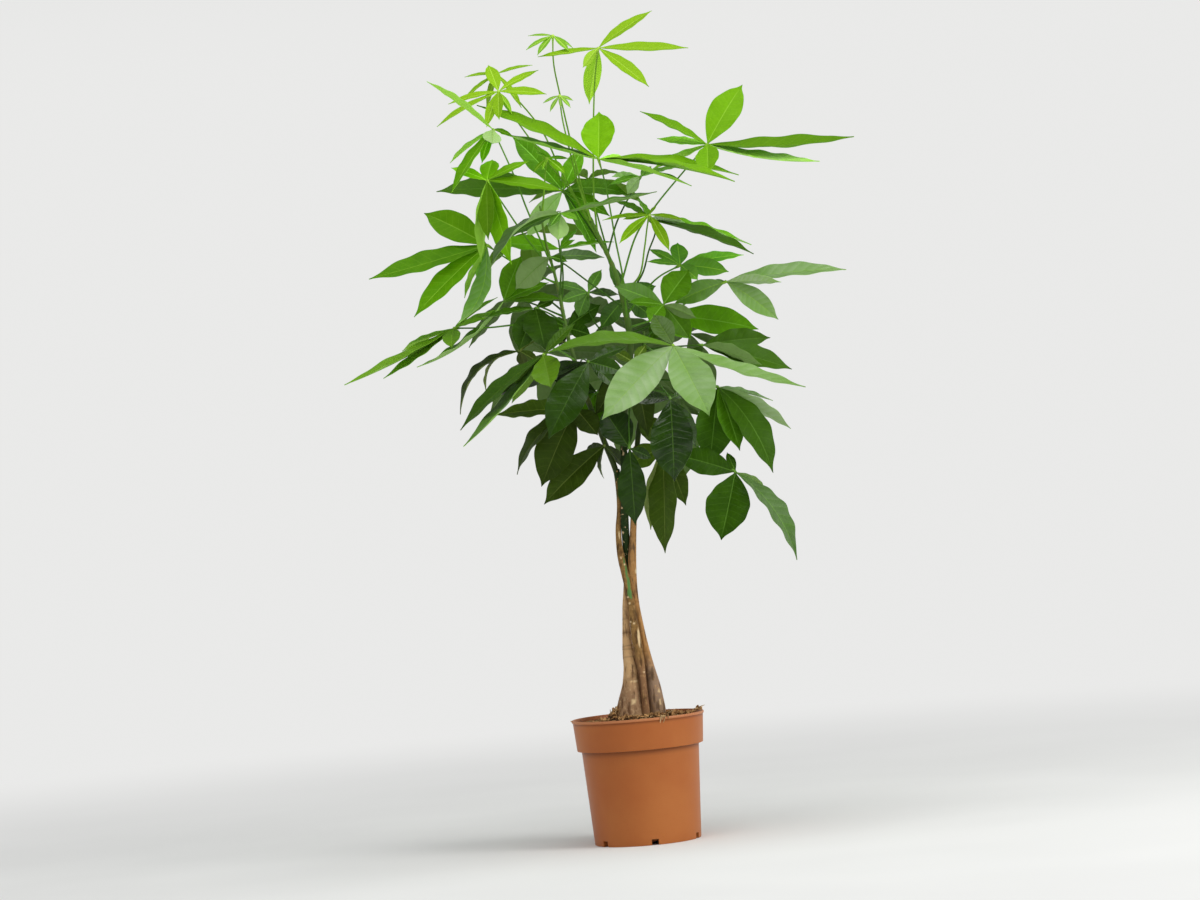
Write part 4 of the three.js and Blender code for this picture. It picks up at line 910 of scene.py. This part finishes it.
# Marks as the front shows them: x, z, half width, half height, and 1 where it narrows
# downwards to a point. Bare wood is pale, and scraped skin is bright green.
BARE = {
    "left": [(-4, 178, 4, 4.6, 1), (1, 205, 3, 1.4, 0), (-4, 205, 1, 1, 0)],
    "middle": [
        (10, 260, 1.5, 11.5, 0), (-4, 364, 1.1, 1.6, 0), (0, 355, 0.9, 1.6, 0), (-3.8, 393, 0.9, 5, 0),
        (1, 281, 1.2, 1, 0), (5.5, 279, 1.2, 1.4, 0), (2, 305, 1.2, 1.5, 0), (0.5, 313, 1.4, 1.2, 0),
        (13, 216, 1.4, 0.9, 0),
    ],
    "right": [(13.5, 345, 0.9, 3, 0), (30, 190, 1.2, 2.4, 0), (30.5, 176, 0.9, 4, 0)],
}
SCRAPED = {
    "left": [],
    "middle": [
        (3, 318, 2.8, 6, 0), (3, 330, 1.9, 9, 0), (1.3, 345, 1.3, 9, 0), (-0.4, 358, 0.8, 6, 0),
        (4.8, 312, 1.2, 1.6, 0),
    ],
    "right": [],
}
# Old leaf scars that ring a trunk, height and strength, and how many small ones are drawn.
SMALL_SCARS = 16
RINGS = {
    "left": [(236, 0.6), (246, 0.75), (250.5, 0.75), (267, 0.6), (286, 0.5), (208, 0.35)],
    "middle": [(214, 0.6), (243, 0.35), (275, 0.4), (298, 0.4), (316, 0.7), (372, 0.4), (385, 0.4)],
    "right": [(267, 0.7), (241, 0.4), (306, 0.6), (318, 0.4), (341, 0.5), (359, 0.4), (375, 0.5)],
}


def marked(marks, x, z):
    """How far a place on a trunk's front is inside one of its marks, from 0 to 1."""
    inside = 0.0
    for across, up, half, high, pointed in marks:
        share = (z - up) / high
        width = half * min(max(0.5 + 0.5 * share, 0.05), 1) if pointed else half
        inside = max(inside, smoothstep(1.25, 0.8, math.hypot((x - across) / width, share)))
    return inside


def graded(rows, height):
    if height <= rows[0][0]:
        return rows[0][1]
    for (z0, a), (z1, b) in zip(rows, rows[1:]):
        if height <= z1:
            return a + (b - a) * (height - z0) / (z1 - z0)
    return rows[-1][1]


def rough_at(seed, turn, z, close, tall):
    """Roughness of a round surface at a turn and a height."""
    return ripple(seed, close * math.sin(turn), close * math.cos(turn), z / tall)


def build_trunk(name, seed, material):
    rows = TRUNKS[name]
    sides, count = 36, 300
    chance = random.Random(seed)
    small = [(chance.uniform(300, rows[-1][2]), chance.uniform(0.2, 0.45)) for _ in range(SMALL_SCARS)]
    scars = [(*scar, chance.uniform(0, FULL_TURN)) for scar in RINGS[name] + small]
    points, looks = [], []
    for i in range(count + 1):
        x, y, z, radius = spline(rows, i / count)
        if i == count:
            radius *= 0.86
        swollen = smoothstep(7, 20, radius)
        for s in range(sides):
            turn = 2 * math.pi * s / sides
            ridge = (0.02 + 0.05 * swollen) * rough_at(seed, turn, z, 2.2, 26)
            rough = 0.012 * rough_at(seed + 1, turn, z, 5, 3.5)
            furrow = rough_at(seed + 2, turn, z, 7, 16) * swollen
            scar = sum(size * bell(z - at - 0.9 * math.sin(turn + way), 0.8) for at, size, way in scars)
            out = radius * (1 + ridge + rough + 0.02 * furrow) + 0.04 * min(radius, 9) * scar
            place = Vector((x + out * math.cos(turn), y + out * math.sin(turn), z))
            points.append(place)
            front = math.sin(turn) < 0.2
            marks = [marked(kind[name], place.x, z) if front else 0.0 for kind in (BARE, SCRAPED)]
            # Painted shade in the sunk furrows of the thick bark.
            furrow_shade = smoothstep(0.05, -0.6, furrow) * swollen
            looks.append((graded(GREEN[name], z), *marks, min(scar, 1), z, furrow_shade))
    values = dict(zip(("green", "bare", "scraped", "ring", "height", "furrow"), zip(*looks)))
    shape = Shape()
    shape.add(points, ring_faces(count + 1, sides), **values)
    stand_for(shape.object(f"trunk_{name}_fine", material, 60), f"trunk_{name}")


def build_shoot(name, seed, material):
    """A shoot with a swelling at the joint of each leaf."""
    joins = [leaf.joins for leaf in LEAVES if leaf.shoot == name]
    sides, count = 16, 120
    points, heights = [], []
    for i in range(count + 1):
        x, y, z, radius = spline(SHOOTS[name], i / count)
        radius += sum(0.55 * bell(z - joint, 2.2) for joint in joins)
        radius *= 1 + 0.02 * ripple(seed, z / 5)
        if i == count:
            radius *= 0.5
        points += ring(radius, z, sides, x, y)
        heights += [z] * sides
    shape = Shape()
    shape.add(points, ring_faces(count + 1, sides), height=heights)
    stand_for(shape.object(f"shoot_{name}_fine", material, 60), f"shoot_{name}")


# ---- materials ----


class Painter:
    """A material's nodes, built up from small steps."""

    def __init__(self, name, roughness, specular):
        self.material = bpy.data.materials.new(name)
        self.material.use_nodes = True
        self.tree = self.material.node_tree
        self.shader = self.tree.nodes["Principled BSDF"].inputs
        self.shader["Roughness"].default_value = roughness
        self.shader["Specular IOR Level"].default_value = specular

    def node(self, kind, *terms, **settings):
        """A new node's outputs. Its inputs get the terms in order, except where one is None."""
        made = self.tree.nodes.new(kind)
        for key, value in settings.items():
            setattr(made, key, value)
        for socket, term in zip(made.inputs, terms):
            if term is not None:
                self.set(socket, term)
        return made.outputs

    def set(self, socket, value):
        if isinstance(value, bpy.types.NodeSocket):
            self.tree.links.new(value, socket)
        else:
            socket.default_value = value

    def value(self, name):
        return self.node("ShaderNodeAttribute", attribute_name=name)["Fac"]

    def math(self, operation, *terms):
        return self.node("ShaderNodeMath", *terms, operation=operation)[0]

    def times(self, *terms):
        return self.math("MULTIPLY", *terms)

    def band(self, x, low, high, start=0.0, end=1.0):
        kind = dict(interpolation_type="SMOOTHSTEP")
        return self.node("ShaderNodeMapRange", x, low, high, start, end, **kind)[0]

    def noise(self, scale, detail, stretch=(1, 1, 1)):
        place = self.node("ShaderNodeTexCoord")["Object"]
        mapped = self.node("ShaderNodeMapping", place, None, None, stretch)[0]
        return self.node("ShaderNodeTexNoise", mapped, None, scale, detail)["Fac"]

    def mix(self, share, a, b, amount=None):
        """Colour a with a share of colour b, or an amount of that share."""
        share = share if amount is None else self.times(share, amount)
        colours = [c if isinstance(c, bpy.types.NodeSocket) else (*c, 1) for c in (a, b)]
        return self.node("ShaderNodeMix", share, *[None] * 5, *colours, data_type="RGBA")[2]

    def bump(self, height, strength, distance):
        made = self.tree.nodes.new("ShaderNodeBump")
        self.set(made.inputs["Height"], height)
        made.inputs["Strength"].default_value = strength
        made.inputs["Distance"].default_value = distance
        self.set(self.shader["Normal"], made.outputs[0])

    def finish(self, colour, roughness=None):
        self.set(self.shader["Base Color"], colour)
        if roughness is not None:
            self.set(self.shader["Roughness"], roughness)
        return self.material


def rgb(text):
    """A colour written as on a screen, made linear."""
    parts = [int(text[i : i + 2], 16) / 255 for i in (0, 2, 4)]
    return tuple(c / 12.92 if c <= 0.04045 else ((c + 0.055) / 1.055) ** 2.4 for c in parts)


# Deep, light, vein, underside and stalk colours of a leaf, by its age. The underside colours are lightened
# as painted light, for light that shines through the blade.
PALETTES = {
    "young": ("4A7E08", "8AB41C", "B4D858", "A2D23A", "7AA836"),
    "fresh": ("386C02", "6EA00E", "8EBA3C", "8EC044", "649632"),
    "mature": ("1E3A04", "4E7E08", "6C983A", "7C9C58", "426A1E"),
    "olive": ("263408", "52701A", "7E9044", "6E7E42", "4A5C20"),
}
OLIVE = ("low_left", "left_lower", "below_right", "inner_low", "drooping_left")
# The pale colour of the painted sheen, a painted reflection of bright light on glossy blades.
PAINTED_SHEEN = rgb("C4D2BA")
# How strongly a leaf shines, how rough its surface is and how far it puckers between its
# veins in millimetres, by its age or by its name.
SHINES = {
    "young": (0.04, 0.5, 0.2), "fresh": (0.05, 0.48, 0.5), "mature": (0.08, 0.45, 0.8),
    "hero": (0.3, 0.4, 1.4), "glossy": (0.45, 0.24, 1.8), "arching": (0.2, 0.38, 0.8),
    "front_dark": (0.3, 0.3, 1.0), "on_trunks": (0.2, 0.3, 1.0), "far_right": (0.25, 0.45, 0.8),
    "right_deep": (0.1, 0.4, 0.8), "grey_middle": (0.2, 0.4, 0.8), "grey_left": (0.15, 0.4, 0.8),
    "front_left": (0.15, 0.4, 1.0), "low_right": (0.1, 0.4, 1.0),
}


def leaf_material(name, palette, shine, roughness, pucker):
    """Green between a pale midrib and side veins, with a painted sheen, an underside and a stalk."""
    deep, light, vein, below, stalk = (rgb(colour) for colour in palette)
    p = Painter(name, roughness, shine)
    t, v, rib, size, tint = (p.value(name) for name in ("t", "v", "rib", "size", "tint"))
    off = p.math("ABSOLUTE", v)
    count = p.band(size, SMALL_BLADE - 0.1, SMALL_BLADE + 0.1, *SIDE_VEINS)
    phase = p.math("FRACT", p.times(p.math("SUBTRACT", t, p.times(off, VEIN_SLANT)), count))
    near = p.math("ABSOLUTE", p.math("SUBTRACT", phase, 0.5))
    side_vein = p.times(p.band(near, 0.44, 0.5), p.band(off, 1.0, 0.7))
    midrib = p.times(p.band(rib, 0.9, 0.35), p.band(t, 1.0, 0.7))
    lines = p.math("MAXIMUM", midrib, p.times(side_vein, 0.38))
    body = p.mix(tint, deep, light)
    body = p.mix(p.band(p.noise(38, 3), 0.35, 0.75), body, light, 0.22)
    body = p.mix(p.band(p.noise(300, 2), 0.4, 0.7), body, deep, 0.15)
    upper = p.mix(lines, body, vein, 0.42)
    # The underside, lightened as painted light shining through the blade.
    lower = p.mix(tint, below, light, 0.25)
    lower = p.mix(lines, lower, vein, 0.6)
    blade = p.mix(p.value("under"), upper, lower)
    # gain brightens or darkens each blade, partly for its own colour and partly as painted light and shade
    # for how brightly it is lit.
    lit = p.node("ShaderNodeHueSaturation", None, None, p.value("gain"), None, blade)[0]
    # Painted sheen: a pale painted reflection, patchy, changing across each panel between the side veins as
    # light falls on the puckers, and weaker on the veins.
    painted_sheen = p.times(p.value("sheen"), p.band(p.noise(20, 2), 0.3, 0.7, 0.55, 1.45))
    painted_sheen = p.times(painted_sheen, p.band(phase, 0.1, 0.9, 0.8, 1.15))
    painted_sheen = p.times(painted_sheen, p.band(lines, 0.0, 1.0, 1.0, 0.65))
    stem = p.mix(p.band(t, 0.9, 1.0), stalk, vein)
    stem = p.mix(p.band(p.noise(120, 2), 0.45, 0.7), stem, deep, 0.4)
    grain = p.math("ADD", p.times(lines, -0.7), p.times(p.noise(420, 2), 0.35))
    pillow = p.times(p.band(near, 0.5, 0.0), p.band(off, 1.0, 0.4, 0.0, 0.7))
    pillow = p.times(pillow, p.band(p.noise(55, 2), 0.3, 0.7, 0.2, 1.4))
    p.bump(p.math("ADD", grain, pillow), 0.4, pucker * MM)
    gloss = p.band(p.value("under"), 0.0, 1.0, roughness, 0.6)
    return p.finish(p.mix(p.value("leafy"), stem, p.mix(painted_sheen, lit, PAINTED_SHEEN)), gloss)


def pot_material():
    p = Painter("terracotta_plastic", 0.42, 0.22)
    cloud, turned_lines = p.noise(9, 4), p.noise(60, 3, (0.02, 0.02, 14))
    colour = p.mix(p.band(cloud, 0.3, 0.7), rgb("A95E2C"), rgb("B46C36"))
    colour = p.mix(p.band(p.noise(900, 2), 0.62, 0.75), colour, rgb("8A4C28"), 0.3)
    # Painted shadow under the lip and under the rim's bead.
    colour = p.mix(p.value("shadowed"), colour, rgb("5C2E14"), 0.6)
    # Painted highlight along the rim's rounded top edge.
    colour = p.mix(p.value("worn"), colour, rgb("D8A27C"), 0.28)
    p.bump(p.math("ADD", turned_lines, p.times(p.noise(500, 2), 0.2)), 0.12, 0.0008)
    return p.finish(colour, p.band(cloud, 0.2, 0.8, 0.36, 0.48))


def soil_material():
    p = Painter("potting_soil", 0.95, 0.2)
    tint, chip = p.value("tint"), p.value("chip")
    ground = p.mix(p.band(p.noise(160, 5), 0.35, 0.65), rgb("20140C"), rgb("4A3220"))
    colour = p.mix(p.band(chip, 0.4, 0.6), ground, p.mix(tint, rgb("54361F"), rgb("C89A66")))
    colour = p.mix(p.band(chip, 1.4, 1.6), colour, p.mix(tint, rgb("8E6A44"), rgb("D6B88A")))
    p.bump(p.noise(420, 4), 0.6, 0.0015)
    return p.finish(colour)


def bark_material(name, change, *colours):
    """Bark of one colour above a height and another below it, with rings, marks and green."""
    above, below, dark, pale, skin = (rgb(colour) for colour in colours)
    p = Painter(name, 0.8, 0.25)
    grain, fine = p.noise(70, 5, (1, 1, 0.5)), p.noise(300, 4, (1, 1, 0.8))
    crack = p.noise(190, 4, (1, 1, 0.2))
    colour = p.mix(p.band(p.value("height"), change - 18.0, change + 18.0), below, above)
    colour = p.mix(p.band(grain, 0.5, 0.3), colour, dark, 0.75)
    colour = p.mix(p.band(fine, 0.5, 0.72), colour, pale, 0.5)
    colour = p.mix(p.band(crack, 0.47, 0.36), colour, dark, 0.8)
    # Painted shade in the bark's sunk furrows.
    colour = p.mix(p.value("furrow"), colour, dark, 0.55)
    colour = p.mix(p.value("ring"), colour, dark, 0.6)
    speckled = p.mix(p.band(p.noise(230, 3), 0.6, 0.7), skin, pale)
    share = p.math("ADD", p.value("green"), p.times(p.math("SUBTRACT", grain, 0.5), 1.2))
    colour = p.mix(p.band(share, 0.35, 0.65), colour, speckled)
    colour = p.mix(p.value("scraped"), colour, rgb("5F8A4A"))
    colour = p.mix(p.value("bare"), colour, rgb("E0C496"))
    p.bump(p.math("ADD", p.math("ADD", grain, crack), p.times(fine, 0.5)), 0.8, 0.0018)
    return p.finish(colour)


def shoot_material():
    p = Painter("green_shoot", 0.5, 0.25)
    colour = p.mix(p.band(p.value("height"), 540.0, 760.0), rgb("384A1C"), rgb("5C8428"))
    colour = p.mix(p.band(p.noise(240, 3, (1, 1, 0.4)), 0.5, 0.72), colour, rgb("77753A"), 0.45)
    p.bump(p.noise(180, 3, (1, 1, 0.3)), 0.3, 0.0008)
    return p.finish(colour)


# ---- the object ----

# The height where a trunk's bark changes, its colours above and below that, its dark and
# pale spots, and its green skin.
BARKS = {
    "left": (204, "CEA676", "A4805F", "5A3C24", "D8BA90", "22350E"),
    "middle": (230, "94703F", "8E6848", "4C3218", "C49C64", "2E4416"),
    "right": (228, "B4844E", "9C8068", "5C4632", "C49A66", "4A5A22"),
}

for index, leaf in enumerate(LEAVES):
    palette = PALETTES["olive" if leaf.name in OLIVE else leaf.age]
    looks = SHINES.get(leaf.name, SHINES[leaf.age])
    build_leaf(leaf, index, leaf_material(f"leaf_{leaf.name}_surface", palette, *looks))
build_pot(pot_material())
build_soil(soil_material())
for number, (name, looks) in enumerate(BARKS.items()):
    build_trunk(name, 21 + number, bark_material(f"bark_{name}", *looks))
for number, name in enumerate(SHOOTS):
    build_shoot(name, 31 + number, shoot_material())

# ---- stage, light and camera ----

HORIZON = 0.82  # how bright the sky is above the edge of the floor
ZENITH = 0.32  # how bright it is overhead
SKYLIGHT = (1, 1, 0.99, 1)
LEAN = math.radians(4.9)  # how far the camera is turned about its own axis


def studio_floor():
    """A pale floor that takes shadows near the plant and is as bright as the sky far from it."""
    sides = 64
    reaches = (800, 1600, 2400, 3200, 4000, 6000, 40000)
    points = [Vector((0, 0, 0))] + [point for reach in reaches for point in ring(reach, 0, sides)]
    faces = [[f + 1 for f in face] for face in ring_faces(len(reaches), sides, False)]
    faces += fan_faces(0, 1, sides)
    shape = Shape()
    shape.add(points, faces, reach=[0.0] + [reach for reach in reaches for _ in range(sides)])
    p = Painter("studio_floor", 0.9, 0)
    far = p.band(p.value("reach"), 350.0, 2600.0)
    pale = p.mix(p.band(p.noise(2.0, 2), 0.3, 0.7), rgb("E9EAEA"), rgb("EEEFEF"))
    p.set(p.shader["Emission Color"], SKYLIGHT)
    p.set(p.shader["Emission Strength"], p.times(far, HORIZON))
    shape.object("studio_floor", p.finish(p.mix(far, pale, (0, 0, 0))))


def studio_sky():
    """A world that is bright near the horizon and dimmer overhead."""
    world = bpy.data.worlds.new("world")
    bpy.context.scene.world = world
    world.use_nodes = True
    tree = world.node_tree
    background = tree.nodes["Background"]
    background.inputs["Color"].default_value = SKYLIGHT
    ways = tree.nodes.new("ShaderNodeSeparateXYZ")
    tree.links.new(tree.nodes.new("ShaderNodeTexCoord").outputs["Generated"], ways.inputs[0])
    shade = tree.nodes.new("ShaderNodeMapRange")
    shade.interpolation_type = "SMOOTHSTEP"
    for socket, value in zip(list(shade.inputs)[1:], (0.13, 0.45, HORIZON, ZENITH)):
        socket.default_value = value
    tree.links.new(ways.outputs["Z"], shade.inputs[0])
    tree.links.new(shade.outputs[0], background.inputs["Strength"])


def area_light(name, place, target, size, power, colour):
    light = bpy.data.lights.new(name, "AREA")
    light.shape = "RECTANGLE"
    light.size, light.size_y = size
    light.energy = power
    light.color = colour
    made = link(bpy.data.objects.new(name, light))
    made.location = place
    made.rotation_euler = (Vector(target) - Vector(place)).to_track_quat("-Z", "Y").to_euler()


studio_floor()
studio_sky()
area_light("sky", (0.2, -0.7, 3.1), (0, 0, 0.6), (3.0, 2.2), 55, (1, 1, 0.98))
area_light("window_right", (2.7, -1.7, 1.7), (0, 0, 0.45), (1.4, 1.8), 50, (1, 0.99, 0.96))
bpy.context.scene.view_settings.view_transform = "Standard"

camera_data = bpy.data.cameras.new("camera")
camera_data.lens = 102
camera_data.sensor_width = 36
camera = link(bpy.data.objects.new("camera", camera_data))
eye, target = EYE * MM, Vector((-0.019, 0, 0.504))
back = (eye - target).normalized()
right = square_to(Vector((math.cos(LEAN), 0, -math.sin(LEAN))), back)
above = back.cross(right)
camera.matrix_world = Matrix(
    [[right[i], above[i], back[i], eye[i]] for i in range(3)] + [[0, 0, 0, 1]]
)
bpy.context.scene.camera = camera
